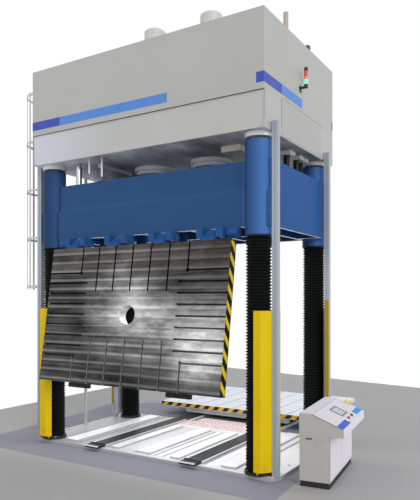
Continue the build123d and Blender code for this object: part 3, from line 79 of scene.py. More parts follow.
# The console stands turned on the floor: directions along its front and into it
CONSOLE_YAW = math.radians(6.3)
ALONG = Vector((-math.sin(CONSOLE_YAW), math.cos(CONSOLE_YAW), 0))
INWARD = Vector((-math.cos(CONSOLE_YAW), -math.sin(CONSOLE_YAW), 0))

# The platen leans on its hinge at rest: directions along its face and out of it, and its
# ends, back and face as distances from the hinge along them
LEAN, HINGE = math.radians(8.64), Vector((0, -1.14, 3.47))
ACROSS = Vector(X_AXIS)
UP = Vector((0, math.sin(LEAN), math.cos(LEAN)))
OUT = Vector((0, -math.cos(LEAN), math.sin(LEAN)))
PLATEN_HALF, PLATEN_LOW, PLATEN_HIGH = 1.75, -2.346, -0.130
PLATEN_BACK, PLATEN_FACE = 0.040, 0.190

# What its shader looks at: the face with its border and slots, the rows of painted highlight bands,
# the bore, the slot walls with a painted highlight, and pools of light, each a place and a reach,
# for the shine also a gain
FACE_LOW, FACE_HIGH = HINGE.dot(UP) + PLATEN_LOW, HINGE.dot(UP) + PLATEN_HIGH
FACE_SKIN = HINGE.dot(OUT) + PLATEN_FACE
FACE_BORDER, SLOT_DEPTH = 0.004, 0.060
ROW_START, ROW_PITCH = 1.9562, 0.1475
BORE_PLACE, BORE_REACH = (0.0, -1.48, 2.27), 0.4
LIT_WALL_ASIDE, LIT_WALL_TOP = 1.7, 2.2
GLARE_POOLS = (((-0.15, -1.48, 2.46), 1.05), ((1.40, -1.58, 1.86), 1.0),
               ((0.55, -1.54, 2.10), 0.8))
SHINE_POOLS = (((1.38, -1.56, 1.93), 0.75, 0.42), ((0.02, -1.50, 2.38), 0.60, 0.12))


# -------------------------------------------------------------- materials
class Shader:
    """A material under construction, with short calls for the nodes used here."""

    def __init__(self, name):
        self.material = bpy.data.materials.new(name)
        self.material.use_nodes = True
        self.tree = self.material.node_tree
        self.bsdf = self.tree.nodes["Principled BSDF"]
        self.place = self.new("ShaderNodeTexCoord").outputs["Object"]

    def new(self, kind, **settings):
        """A new node with these settings."""
        node = self.tree.nodes.new(kind)
        for key, value in settings.items():
            setattr(node, key, value)
        return node

    def put(self, socket, value):
        """Links an output to the socket, or sets a constant on it."""
        if isinstance(value, bpy.types.NodeSocket):
            self.tree.links.new(value, socket)
        else:
            socket.default_value = value

    # Numbers
    def math(self, operation, first, second=0.0):
        """What a Math node makes of one or two numbers."""
        node = self.new("ShaderNodeMath", operation=operation)
        self.put(node.inputs[0], first)
        self.put(node.inputs[1], second)
        return node.outputs[0]

    def times(self, value, *others):
        """The product of all the values."""
        for other in others:
            value = self.math("MULTIPLY", value, other)
        return value

    def plus(self, value, *others):
        """The sum of all the values."""
        for other in others:
            value = self.math("ADD", value, other)
        return value

    def over(self, value, limit):
        """1 where the value is over the limit, else 0."""
        return self.math("GREATER_THAN", value, limit)

    def under(self, value, limit):
        """1 where the value is under the limit, else 0."""
        return self.math("LESS_THAN", value, limit)

    def saw(self, value):
        """The value without its whole part: 0 to 1, over and over."""
        return self.math("FRACT", value)

    def ramp(self, value, low, high, out_low=0.0, out_high=1.0, smooth=True):
        """From out_low to out_high while the value goes from low to high."""
        node = self.new("ShaderNodeMapRange")
        node.interpolation_type = "SMOOTHSTEP" if smooth else "LINEAR"
        self.put(node.inputs["Value"], value)
        node.inputs["From Min"].default_value = low
        node.inputs["From Max"].default_value = high
        node.inputs["To Min"].default_value = out_low
        node.inputs["To Max"].default_value = out_high
        return node.outputs["Result"]

    # Places and directions
    def vector(self, operation, first, second=None, output="Vector"):
        """What a Vector Math node makes of one or two vectors."""
        node = self.new("ShaderNodeVectorMath", operation=operation)
        self.put(node.inputs[0], first)
        if second is not None:
            self.put(node.inputs[1], second)
        return node.outputs[output]

    def dot(self, direction):
        """How far the place lies along a direction."""
        return self.vector("DOT_PRODUCT", self.place, direction, "Value")

    def glow_at(self, place, reach):
        """1 at a place, falling off to 0 at a distance."""
        distance = self.vector("DISTANCE", self.place, place, "Value")
        return self.ramp(distance, 0.0, reach, 1.0, 0.0)

    def facing(self, direction):
        """How far the surface faces a direction, from -1 to 1."""
        normal = self.new("ShaderNodeTexCoord").outputs["Normal"]
        return self.vector("DOT_PRODUCT", normal, direction, "Value")

    def turned_to(self, direction, low=0.5, either_way=False):
        """1 on faces that look along a direction, or also against it, and 0 on the others."""
        facing = self.facing(direction)
        if either_way:
            facing = self.math("ABSOLUTE", facing)
        return self.ramp(facing, low, 0.9)

    def upright(self):
        """0 on faces that look up and 1 on the others."""
        return self.ramp(self.facing(Z_AXIS), 0.5, 0.9, 1.0, 0.0)

    # Patterns
    def noise(self, scale, factors=(1, 1, 1), detail=5.0, rough=0.55):
        """Cloudy noise, finer along the axes that have larger factors."""
        stretch = self.new("ShaderNodeMapping")
        self.put(stretch.inputs["Vector"], self.place)
        stretch.inputs["Scale"].default_value = factors
        node = self.new("ShaderNodeTexNoise")
        self.put(node.inputs["Vector"], stretch.outputs["Vector"])
        node.inputs["Scale"].default_value = scale
        node.inputs["Detail"].default_value = detail
        node.inputs["Roughness"].default_value = rough
        return node.outputs["Fac"]

    def drift(self, spread):
        """A slow change of brightness about 1."""
        return self.ramp(self.noise(0.9, detail=3.0), 0.3, 0.7, 1 - spread, 1 + spread)

    def marks(self, strength):
        """Faint handling marks."""
        return self.ramp(self.noise(5.0, (1, 1, 2.2), 9.0, 0.7), 0.58, 0.8, 0.0, strength)

    # Colours
    def mix(self, factor, first, second):
        """The first colour at factor 0, the second at 1."""
        node = self.new("ShaderNodeMix", data_type="RGBA")
        self.put(node.inputs[0], factor)
        self.put(node.inputs[6], first)
        self.put(node.inputs[7], second)
        return node.outputs[2]

    def scale(self, colour, factor):
        """The colour times a factor."""
        node = self.new("ShaderNodeVectorMath", operation="SCALE")
        self.put(node.inputs[0], colour)
        self.put(node.inputs["Scale"], factor)
        return node.outputs["Vector"]

    def vary(self, colour, noise, spread):
        """The colour, darker and lighter by turns after a noise."""
        return self.mix(self.ramp(noise, 0.3, 0.7), scaled(colour, 1 - spread),
                        scaled(colour, 1 + spread))

    # Surface
    def bump(self, height, strength, distance):
        """Lets the surface rise and fall with a height."""
        node = self.new("ShaderNodeBump")
        node.inputs["Strength"].default_value = strength
        node.inputs["Distance"].default_value = distance
        self.put(node.inputs["Height"], height)
        self.put(self.bsdf.inputs["Normal"], node.outputs["Normal"])

    def grain(self, scale, strength, distance):
        """A fine even roughness, such as orange peel."""
        self.bump(self.noise(scale, detail=1.0), strength, distance)

    def finish(self, colour, roughness, metallic=0.0, coat=0.0, specular=0.5):
        """Sets how the surface looks and returns the material."""
        self.put(self.bsdf.inputs["Base Color"], colour)
        self.put(self.bsdf.inputs["Roughness"], roughness)
        self.bsdf.inputs["Metallic"].default_value = metallic
        self.bsdf.inputs["Coat Weight"].default_value = coat
        self.bsdf.inputs["Coat Roughness"].default_value = 0.12
        self.bsdf.inputs["Specular IOR Level"].default_value = specular
        return self.material


def painted(name, colour, roughness=0.45, cloud=0.05, peel=0.02, coat=0.0, soil=0.05,
            specular=0.4, sides=1.0):
    """Sprayed paint: slow drift, handling marks, orange peel; upright faces can be darkened as
    painted shade.
    """
    shader = Shader(name)
    tone = shader.vary(colour, shader.noise(0.9, detail=3.0), cloud)
    tone = shader.mix(shader.marks(soil), tone, scaled(colour, 0.45))
    # Upright faces darker: painted shade
    if sides != 1.0:
        tone = shader.mix(shader.upright(), tone, scaled(colour, sides))
    gloss = shader.ramp(shader.noise(14.0, detail=4.0), 0.3, 0.7,
                        roughness - 0.06, roughness + 0.08)
    shader.grain(420.0, peel, 0.002)
    return shader.finish(tone, gloss, coat=coat, specular=specular)


def crosshead_paint(name, front_colour, lit_side_colour, sleeve_colour):
    """Blue paint of the ram: a stronger blue on the sides than on the front as painted light,
    painted light and shade round the sleeves, pale under the webs.
    """
    shader = Shader(name)
    # Stronger blue on the sides than on the front: painted light
    tone = shader.mix(shader.turned_to(X_AXIS, either_way=True), front_colour, lit_side_colour)
    folded = shader.vector("ABSOLUTE", shader.place)
    flat = shader.vector("MULTIPLY", folded, (1, 1, 0))
    from_column = shader.vector("DISTANCE", flat, (COLUMN_X, COLUMN_Y, 0), "Value")
    # Sleeves lighter on their right and darker on their left, the left-hand sleeves darker still:
    # painted light and shade
    lit = shader.ramp(shader.facing((0.95, 0.3, 0.0)), -1.0, 1.0, smooth=False)
    sleeve = shader.mix(lit, scaled(sleeve_colour, 0.42), scaled(sleeve_colour, 1.4))
    sleeve = shader.scale(sleeve, shader.ramp(shader.dot(X_AXIS), -0.5, 0.5, 0.44, 1.0))
    tone = shader.mix(shader.under(from_column, SLEEVE_REACH), tone, sleeve)
    under_webs = shader.times(shader.over(shader.facing(DOWNWARD), 0.9),
                              shader.under(shader.dot(Z_AXIS), PALE_BELOW),
                              shader.ramp(from_column, 0.2, 0.24))
    tone = shader.mix(under_webs, tone, srgb(250, 252, 254))
    tone = shader.mix(shader.marks(0.03), tone, scaled(front_colour, 0.5))
    tone = shader.scale(tone, shader.drift(0.03))
    shader.grain(420.0, 0.02, 0.002)
    return shader.finish(tone, 0.42, specular=0.08)


def cover_paint(name, left_reflection_colour, colour):
    """Off-white sheet, cooler at the left as a painted reflection, with the right side a step
    darker as painted shade.
    """
    shader = Shader(name)
    # Cooler colour towards the left: painted reflection
    tone = shader.mix(shader.ramp(shader.dot(X_AXIS), -2.4, -0.2), left_reflection_colour, colour)
    # Right side a step darker: painted shade
    tone = shader.mix(shader.turned_to(X_AXIS), tone, scaled(colour, 0.86))
    tone = shader.scale(tone, shader.drift(0.02))
    shader.grain(420.0, 0.02, 0.002)
    return shader.finish(tone, 0.46, specular=0.3)


def guard_paint(name, front_colour, rear_shade_colour, plate_colour):
    """Flat yellow, duller on the rear guards as painted shade, pale on the rear left one, grimy at
    the floor.
    """
    shader = Shader(name)
    right, back, height = (shader.dot(axis) for axis in (X_AXIS, Y_AXIS, Z_AXIS))
    # Duller yellow on the rear guards: painted shade
    tone = shader.mix(shader.ramp(back, -0.2, 0.2), front_colour, rear_shade_colour)
    plate = shader.times(shader.under(right, PALE_GUARD_X), shader.over(back, PALE_GUARD_FRONT))
    tone = shader.mix(plate, tone, plate_colour)
    grime = shader.times(shader.ramp(height, 0.1, 0.5, 1.0, 0.0),
                         shader.ramp(shader.noise(7.0, detail=6.0), 0.45, 0.75, 0.0, 0.35))
    tone = shader.mix(grime, tone, srgb(96, 84, 40))
    tone = shader.scale(tone, shader.drift(0.02))
    shader.grain(420.0, 0.02, 0.002)
    return shader.finish(tone, 0.45, specular=0.12)


def beam_paint(name, colour, under_dim, under_reflection):
    """Grey primer on the sides; the underside is brushed, with light and dark patches of painted
    reflection.
    """
    shader = Shader(name)
    # Light and dark patches on the underside: painted reflections
    patches = shader.ramp(shader.noise(0.8, (1.0, 0.5, 1.0), 6.0, 0.62), 0.36, 0.62)
    underside = shader.mix(patches, under_dim, under_reflection)
    tone = shader.mix(shader.turned_to(DOWNWARD, 0.6), colour, underside)
    shader.grain(300.0, 0.03, 0.002)
    return shader.finish(tone, 0.5, specular=0.3)


def two_tone(name, direction, limit, below, above):
    """Satin paint in one colour up to a limit along a direction and another beyond it."""
    shader = Shader(name)
    tone = shader.mix(shader.over(shader.dot(direction), limit), below, above)
    cloud = shader.ramp(shader.noise(1.4, (1, 1, 0.2), 4.0), 0.3, 0.7, 0.96, 1.04)
    tone = shader.scale(tone, cloud)
    shader.bump(shader.noise(300.0, (1, 1, 0.05), 2.0), 0.03, 0.001)
    return shader.finish(tone, 0.45, 0.1, specular=0.3)


def bed_paint(name, dim, bright):
    """Bed enamel: greyer at the left as painted shade, greyer along the front edge, worn, near
    white to the right; upright faces darker as painted shade.
    """
    shader = Shader(name)
    # Greyer towards the left: painted shade
    tone = shader.mix(shader.ramp(shader.dot(X_AXIS), -1.6, 0.4), dim, bright)
    front = shader.ramp(shader.dot(Y_AXIS), -1.22, -0.85, 0.82, 1.0)
    worn = shader.ramp(shader.noise(2.2, (1.6, 0.5, 1), 7.0, 0.65), 0.42, 0.72, 1.0, 0.84)
    tone = shader.scale(tone, shader.times(front, worn))
    # Upright faces darker: painted shade
    tone = shader.mix(shader.upright(), tone, scaled(dim, 0.8))
    shader.grain(300.0, 0.03, 0.002)
    return shader.finish(tone, 0.4, coat=0.1, specular=0.3)


def console_paint(name, end_shade_colour, panel_colour):
    """Textured desk paint: the end panels and the desk are darker than the doors, as painted shade.
    """
    shader = Shader(name)
    # End panels and desk top darker than the doors: painted shade
    ends = shader.turned_to(ALONG, either_way=True)
    tone = shader.mix(ends, panel_colour, end_shade_colour)
    tone = shader.mix(shader.turned_to(Z_AXIS, 0.6), tone, scaled(panel_colour, 0.73))
    speck = shader.ramp(shader.noise(160.0, detail=2.0), 0.55, 0.8, 0.0, 0.12)
    tone = shader.mix(speck, tone, scaled(end_shade_colour, 0.6))
    shader.bump(shader.noise(500.0, detail=2.0), 0.1, 0.001)
    return shader.finish(tone, 0.55, specular=0.3)


def machined(name, colour, roughness=0.3, factors=(1, 1, 1), grain=60.0, spread=0.18,
             metallic=1.0):
    """Bare or plated metal with tool marks drawn out along one direction."""
    shader = Shader(name)
    tool_marks = shader.noise(grain, factors, 6.0, 0.65)
    gloss = shader.ramp(shader.noise(1.6, detail=3.0), 0.35, 0.65,
                        roughness - 0.05, roughness + 0.1)
    shader.bump(tool_marks, 0.06, 0.001)
    return shader.finish(shader.vary(colour, tool_marks, spread), gloss, metallic)


def milled_plate(name, dark, light, warm):
    """Face-milled plate with painted light: a highlight band along each row, glare, scuffs, painted
    shade in the slots and a painted highlight on some slot walls.
    """
    shader = Shader(name)
    height, across, outward = (shader.dot(axis) for axis in (UP, X_AXIS, OUT))
    aside = shader.math("ABSOLUTE", across)

    # A painted highlight band along each row, weaker to the right and in the middle of the plate
    wander = shader.ramp(shader.noise(0.5, (1, 0.2, 1.5), 2.0), 0.2, 0.8, -0.006, 0.006)
    place = shader.plus(shader.math("SUBTRACT", height, ROW_START), wander)
    row = shader.saw(shader.math("DIVIDE", place, ROW_PITCH))
    rightward = shader.ramp(across, -1.3, 1.5, 0.62, 0.24, smooth=False)
    middle = shader.times(shader.ramp(height, 1.55, 1.85), shader.ramp(height, 2.3, 2.5, 1.0, 0.0))
    inner = shader.ramp(aside, 0.9, 1.4, 1.0, 0.4)
    outer = shader.math("SUBTRACT", 1.0, shader.times(middle, shader.times(inner, 0.65)))
    band = shader.times(shader.ramp(row, 0.06, 0.24), shader.ramp(row, 0.27, 0.52, 1.0, 0.16),
                        rightward, outer)

    # Pools of glare in patches, weaker on the upper half, which lift the pattern
    patches = shader.ramp(shader.noise(1.5, (0.7, 1.0, 1.8), 5.0, 0.6), 0.32, 0.68, 0.25, 1.15)
    glare = shader.plus(*(shader.glow_at(spot, reach) for spot, reach in GLARE_POOLS))
    glare = shader.times(glare, patches, shader.ramp(height, 2.40, 2.48, 1.0, 0.55))
    streaks = shader.ramp(shader.noise(2.0, (0.18, 6.0, 6.0), 6.0, 0.6), 0.34, 0.7)
    scuffs = shader.ramp(shader.noise(2.4, (0.6, 1.0, 1.5), 8.0, 0.7), 0.38, 0.7)
    pattern = shader.plus(band, shader.times(streaks, 0.22), shader.times(scuffs, 0.2))
    lift = shader.plus(0.2, shader.times(glare, 0.9))
    level = shader.plus(shader.times(pattern, lift), shader.times(glare, 0.16))
    for spot, reach, gain in SHINE_POOLS:
        scuffed = shader.ramp(scuffs, 0.0, 1.0, 0.5, 1.1)
        level = shader.plus(level, shader.times(shader.glow_at(spot, reach), scuffed, gain))
    ground = shader.mix(shader.ramp(height, 2.3, 3.1), dark, warm)
    tone = shader.mix(shader.ramp(level, 0.02, 0.6, smooth=False), ground, light)

    # Slots, darkened as painted shade: all that lies below the face and inside its border, but for
    # the bore
    sunk = shader.times(
        shader.under(outward, FACE_SKIN - FACE_BORDER),
        shader.over(outward, FACE_SKIN - SLOT_DEPTH),
        shader.over(height, FACE_LOW + FACE_BORDER),
        shader.under(height, FACE_HIGH - FACE_BORDER),
        shader.under(shader.glow_at(BORE_PLACE, BORE_REACH), 0.2))
    tone = shader.mix(shader.times(sunk, 0.8), tone, dark)
    # A painted highlight on the right-facing slot walls low on the plate
    lit_slot_wall = shader.times(shader.turned_to(X_AXIS, 0.6), shader.under(aside, LIT_WALL_ASIDE),
                             shader.under(height, LIT_WALL_TOP))
    tone = shader.mix(lit_slot_wall, tone, srgb(246, 246, 246))

    shader.bump(shader.noise(55.0, (0.06, 1, 1), 4.0, 0.7), 0.12, 0.001)
    return shader.finish(tone, shader.ramp(level, 0.1, 0.7, 0.5, 0.34), 0.85)


def woven(name, colour):
    """Coated cloth: fine grain and a slight sheen."""
    shader = Shader(name)
    blotches = shader.ramp(shader.noise(2.5), 0.3, 0.7)
    tone = shader.mix(blotches, scaled(colour, 0.75), scaled(colour, 1.35))
    shader.bump(shader.noise(260.0, detail=3.0), 0.25, 0.001)
    shader.bsdf.inputs["Sheen Weight"].default_value = 0.02
    return shader.finish(tone, 0.75, specular=0.12)


def moulded(name, colour, roughness=0.4, coat=0.0):
    """Moulded plastic with a light grain."""
    shader = Shader(name)
    shader.grain(700.0, 0.04, 0.001)
    return shader.finish(shader.vary(colour, shader.noise(9.0), 0.07), roughness, coat=coat)


def lens(name, colour, glow):
    """Ribbed lamp lens, lit from inside by glow."""
    shader = Shader(name)
    ribs = shader.math("SINE", shader.times(shader.dot(Z_AXIS), 1100.0))
    shader.bump(ribs, 0.3, 0.001)
    shader.put(shader.bsdf.inputs["Emission Color"], colour)
    shader.bsdf.inputs["Emission Strength"].default_value = glow
    return shader.finish(shader.vary(colour, shader.noise(30.0), 0.1), 0.18, coat=0.6)


def striped(name, direction, period, first, second, share=0.5, offset=0.0):
    """Two-colour diagonal stripes across a direction; share is the first colour's part."""
    shader = Shader(name)
    phase = shader.plus(shader.math("DIVIDE", shader.dot(direction), period), offset)
    tone = shader.mix(shader.over(shader.saw(phase), share), first, second)
    wear = shader.ramp(shader.noise(9.0, detail=8.0, rough=0.7), 0.6, 0.82, 0.0, 0.3)
    tone = shader.mix(wear, tone, srgb(95, 92, 85))
    shader.grain(300.0, 0.04, 0.001)
    return shader.finish(tone, 0.5)


def dotted_hatch(name, ground, dots):
    """Light plate with slanting rows of coloured dots, plain along its front."""
    shader = Shader(name)
    first = shader.saw(shader.times(shader.dot((0.8, 0.6, 0.0)), 26.0))
    second = shader.saw(shader.times(shader.dot((-0.6, 0.8, 0.0)), 17.0))
    spots = shader.times(shader.over(first, 0.35), shader.over(second, 0.4),
                         shader.over(shader.dot(Y_AXIS), HATCH_PLAIN_TO))
    shader.grain(300.0, 0.04, 0.001)
    return shader.finish(shader.mix(spots, ground, dots), 0.5, specular=0.3)


def screen(name):
    """Dim panel display with rows of bare fields in a dark bezel."""
    shader = Shader(name)
    rows = shader.saw(shader.times(shader.dot(Z_AXIS), 46.0))
    fields = shader.saw(shader.times(shader.dot(ALONG), 11.0))
    cells = shader.times(shader.ramp(rows, 0.1, 0.2), shader.ramp(fields, 0.06, 0.1))
    shader.grain(90.0, 0.01, 0.001)
    return shader.finish(shader.mix(cells, srgb(84, 88, 100), srgb(150, 154, 168)), 0.22, coat=0.5)


# The finish of each material slot
MATERIALS = {
    "painted_light": painted("painted_light", WHITE_PAINT, 0.42, 0.03, soil=0.12),
    "painted_crown": painted("painted_crown", srgb(168, 168, 166), 0.5, 0.02, soil=0.02),
    "painted_blue": painted("painted_blue", srgb(30, 77, 131), 0.42, 0.03, soil=0.03,
                            specular=0.16),
    "painted_dark": painted("painted_dark", srgb(34, 34, 38), 0.5, 0.08),
    "painted_yellow": painted("painted_yellow", YELLOW, 0.42, 0.03, coat=0.1),
    "painted_console": console_paint("painted_console", srgb(174, 170, 167), srgb(224, 221, 231)),
    "milled_steel": milled_plate("milled_steel", srgb(34, 34, 35), srgb(236, 235, 236),
                                 srgb(52, 46, 41)),
    "ground_steel": machined("ground_steel", srgb(120, 122, 126), 0.32, (1, 0.08, 1)),
    "hard_chrome": machined("hard_chrome", srgb(205, 207, 210), 0.12, (1, 1, 0.05), 40.0, 0.05),
    "black_oxide": machined("black_oxide", srgb(26, 27, 30), 0.4, (1, 1, 0.1), 60.0, 0.2, 0.6),
    "aluminium": machined("aluminium", srgb(164, 172, 182), 0.45, (1, 1, 0.03), 90.0, 0.06, 0.55),
    "bronze": machined("bronze", srgb(176, 128, 66), 0.35, (1, 1, 0.2)),
    "bellows_fabric": woven("bellows_fabric", srgb(9, 13, 12)),
    "wiper_rubber": moulded("wiper_rubber", srgb(24, 24, 24), 0.8),
    "cast_housing": painted("cast_housing", srgb(86, 98, 112), 0.55, 0.06, peel=0.15),
    "galvanised": painted("galvanised", srgb(190, 192, 196), 0.4, 0.04, soil=0.06),
    "black_plastic": moulded("black_plastic", srgb(20, 20, 20), 0.5),
    "red_plastic": moulded("red_plastic", srgb(198, 26, 18), 0.25, 0.4),
    "yellow_plastic": moulded("yellow_plastic", srgb(226, 196, 70), 0.3, 0.3),
    "red_lens": lens("red_lens", srgb(205, 30, 12), 0.15),
    "amber_lens": lens("amber_lens", srgb(236, 110, 22), 0.2),
    "green_lens": lens("green_lens", srgb(70, 235, 130), 1.6),
    "screen_glass": screen("screen_glass"),
}

for part in frame["record"]["subparts"]:
    mesh = NODES[part["node"]].data
    mesh.materials.clear()
    mesh.materials.append(MATERIALS[part["material_slot"]])

# CAD nodes with a finish of their own
TRACK_STEEL = machined("track_steel", srgb(46, 48, 51), 0.5, (1, 0.05, 1), 80.0, 0.25, 0.5)
# White bar paint; its upright sides are darker as painted shade
BAR_PAINT = painted("bar_paint", srgb(250, 250, 252), 0.32, 0.02, coat=0.2, soil=0.08, sides=0.45)
HATCH_PAINT = dotted_hatch("grating_hatch", srgb(246, 244, 245), srgb(214, 138, 132))
OWN_FINISHES = {
    "table_tracks": TRACK_STEEL,
    "track_stops": TRACK_STEEL,
    "floor_bars": BAR_PAINT,
    "grating_panel": HATCH_PAINT,
    "crosshead": crosshead_paint("crosshead_blue", srgb(41, 76, 120), srgb(22, 77, 140),
                                 srgb(60, 101, 160)),
    "beam_covers": cover_paint("cover_paint", srgb(194, 197, 207), srgb(177, 177, 176)),
    "crown_beam": beam_paint("beam_enamel", srgb(172, 172, 172), srgb(120, 124, 128),
                             srgb(226, 230, 232)),
    "crown_pipes": two_tone("pipe_paint", X_AXIS, 1.0, srgb(206, 208, 210), srgb(222, 212, 196)),
    "lower_table": machined("table_steel", srgb(214, 219, 228), 0.4, (0.1, 1, 1), 50.0, 0.08, 0.25),
    "platen_pads": painted("pad_paint", srgb(22, 22, 22), 0.6, 0.1),
    "bed_plate": bed_paint("bed_enamel", srgb(182, 183, 185), srgb(246, 247, 250)),
    "column_guards": guard_paint("guard_yellow", srgb(216, 184, 6), srgb(158, 130, 40),
                                 srgb(206, 214, 224)),
    "roof_vents": two_tone("vent_paint", Y_AXIS, 0.2, srgb(166, 158, 146), srgb(44, 44, 44)),
    # Rear corner posts a little lighter than the front ones: painted light
    "corner_posts": two_tone("post_paint", Y_AXIS, 0.0, srgb(160, 168, 178), srgb(168, 172, 180)),
    "main_cylinders": painted("cylinder_paint", srgb(188, 187, 182), 0.4, 0.03, soil=0.08),
    "platen_knuckles": MATERIALS["painted_blue"],
    "hinge_pins": MATERIALS["painted_blue"],
}
for node, finish in OWN_FINISHES.items():
    NODES[node].data.materials[0] = finish


# ----------------------------------------------------------------- pieces
def piece(name, mesh, material, body="frame", smooth=False):
    """Links a new piece, gives it its finish and lets it ride on a CAD body."""
    made = bpy.data.objects.new(name, mesh)
    bpy.context.scene.collection.objects.link(made)
    mesh.materials.append(material)
    mesh.polygons.foreach_set("use_smooth", [smooth] * len(mesh.polygons))
    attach(made, body)
    return made


def mesh_from(name, vertices, faces):
    """A checked mesh of these vertices and faces."""
    mesh = bpy.data.meshes.new(name)
    mesh.from_pydata([tuple(v) for v in vertices], [], faces)
    mesh.validate()
    mesh.update()
    return mesh


def blocks(name, corner_sets):
    """One mesh of six-sided blocks, each from its eight corners."""
    vertices, faces = [], []
    for corners in corner_sets:
        start = len(vertices)
        vertices += corners
        faces += [tuple(start + i for i in face) for face in (
            (0, 1, 3, 2), (4, 6, 7, 5), (0, 4, 5, 1), (2, 3, 7, 6), (0, 2, 6, 4), (1, 5, 7, 3))]
    return mesh_from(name, vertices, faces)


def boxes(name, spans):
    """One mesh of axis-aligned boxes, each ((x0, x1), (y0, y1), (z0, z1))."""
    return blocks(name, ([(x, y, z) for x in xs for y in ys for z in zs] for xs, ys, zs in spans))


def slabs(name, plane, spans, depth):
    """Plates of one depth on a plane (origin, first, second, normal), each span
    ((a0, a1), (b0, b1)) along first and second."""
    origin, first, second, normal = plane
    return blocks(name, ([origin + first * a + second * b + normal * h
                          for a in a_range for b in b_range for h in (0.0, depth)]
                         for a_range, b_range in spans))


def turned(name, profile, places, segments, turn=Matrix.Identity(3)):
    """Rings of a (radius, height) profile about each place, with flat ends closed."""
    vertices, faces = [], []
    for place in places:
        start = len(vertices)
        for radius, height in profile:
            for step in range(segments):
                angle = 2 * math.pi * step / segments
                local = Vector((radius * math.cos(angle), radius * math.sin(angle), height))
                vertices.append(Vector(place) + turn @ local)
        last = start + (len(profile) - 1) * segments
        for low in range(start, last, segments):
            for step in range(segments):
                after = (step + 1) % segments
                faces.append((low + step, low + after,
                              low + segments + after, low + segments + step))
        faces.append(tuple(start + step for step in reversed(range(segments))))
        faces.append(tuple(last + step for step in range(segments)))
    return mesh_from(name, vertices, faces)


COLUMNS = [(x, y) for x in (-COLUMN_X, COLUMN_X) for y in (-COLUMN_Y, COLUMN_Y)]

# Bellows: fine pleats between the base ring and the crosshead sleeve, no two quite alike
BELLOWS_LOW, BELLOWS_HIGH = 0.09, 3.41
PLEAT_OUTER, PLEAT_VALLEY, PLEAT_BORE = 0.187, 0.158, 0.147
PLEATS, PLEAT_SEGMENTS = 74, 44
PLEAT_RISE = (BELLOWS_HIGH - BELLOWS_LOW) / PLEATS
CREST_ROUNDING = 0.004
pleat_profile = [(PLEAT_BORE, BELLOWS_LOW), (PLEAT_VALLEY, BELLOWS_LOW)]
for pleat in range(PLEATS):
    base = BELLOWS_LOW + pleat * PLEAT_RISE
    wave = 0.004 * math.sin(pleat * 2.4) + 0.002 * math.sin(pleat * 5.1)
    crest = PLEAT_OUTER + min(0, wave)
    pleat_profile += [
        (crest - CREST_ROUNDING, base + 0.38 * PLEAT_RISE),
        (crest, base + 0.50 * PLEAT_RISE),
        (crest - CREST_ROUNDING, base + 0.62 * PLEAT_RISE),
        (PLEAT_VALLEY, base + PLEAT_RISE),
    ]
pleat_profile.append((PLEAT_BORE, BELLOWS_HIGH))
for number, (x, y) in enumerate(COLUMNS, 1):
    pleats = turned(f"pleats_{number}", pleat_profile, [(x, y, 0)], PLEAT_SEGMENTS)
    sleeve = piece(f"pleated_bellows_{number}", pleats, MATERIALS["bellows_fabric"])
    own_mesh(sleeve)
    if number == 1:
        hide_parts("bellows")

# Two-tone bands on the front and both sides of the crown housing, their ends given in x along
# the front and in y along the sides
BAND_HEIGHTS, BAND_DEPTH = (5.478, 5.623), 0.0015
CROWN_SIDE, CROWN_FRONT = 2.262, 1.365
FRONT_LIGHT = (-1.600, 0.645)
FRONT_RIGHT_DARK = 2.145
SIDE_LIGHT = (-0.778, -0.010)
SIDE_REAR_DARK = 1.320
FRONT_SKIN = (-CROWN_FRONT - BAND_DEPTH, -CROWN_FRONT)


def side_skin(side, depth):
    """X range of a thin layer on the left (-1) or right (1) side of the crown."""
    return tuple(sorted((side * CROWN_SIDE, side * (CROWN_SIDE + depth))))


dark_bands = [((-CROWN_SIDE, FRONT_LIGHT[0]), FRONT_SKIN, BAND_HEIGHTS),
              ((FRONT_RIGHT_DARK, CROWN_SIDE), FRONT_SKIN, BAND_HEIGHTS)]
light_bands = [(FRONT_LIGHT, FRONT_SKIN, BAND_HEIGHTS)]
for side in (-1, 1):
    skin = side_skin(side, BAND_DEPTH)
    dark_bands += [(skin, (FRONT_SKIN[0], SIDE_LIGHT[0]), BAND_HEIGHTS),
                   (skin, (SIDE_REAR_DARK, CROWN_FRONT), BAND_HEIGHTS)]
    light_bands.append((skin, SIDE_LIGHT, BAND_HEIGHTS))
piece("crown_bands_dark", boxes("bands_dark", dark_bands),
      painted("band_dark", srgb(44, 70, 166), 0.45, 0.02))
piece("crown_bands_light", boxes("bands_light", light_bands),
      painted("band_light", srgb(76, 126, 198), 0.45, 0.02))

# Joints of the cover sheets on both sides of the crown: three upright, one along the top
JOINT_LOW, JOINT_HIGH, JOINT_HALF, JOINT_DEPTH = 5.000, 5.420, 0.004, 0.0012
JOINT_PLACES = (-1.332, -0.790, 0.790)
TOP_JOINT_SPAN, TOP_JOINT_WIDTH = (-0.786, 0.786), 0.007
joint_spans = []
for side in (-1, 1):
    skin = side_skin(side, JOINT_DEPTH)
    joint_spans += [(skin, (y - JOINT_HALF, y + JOINT_HALF), (JOINT_LOW, JOINT_HIGH))
                    for y in JOINT_PLACES]
    joint_spans.append((skin, TOP_JOINT_SPAN, (JOINT_HIGH, JOINT_HIGH + TOP_JOINT_WIDTH)))
piece("sheet_joints", boxes("sheet_joint_strips", joint_spans),
      painted("sheet_joint", srgb(128, 126, 122), 0.7, 0.04))

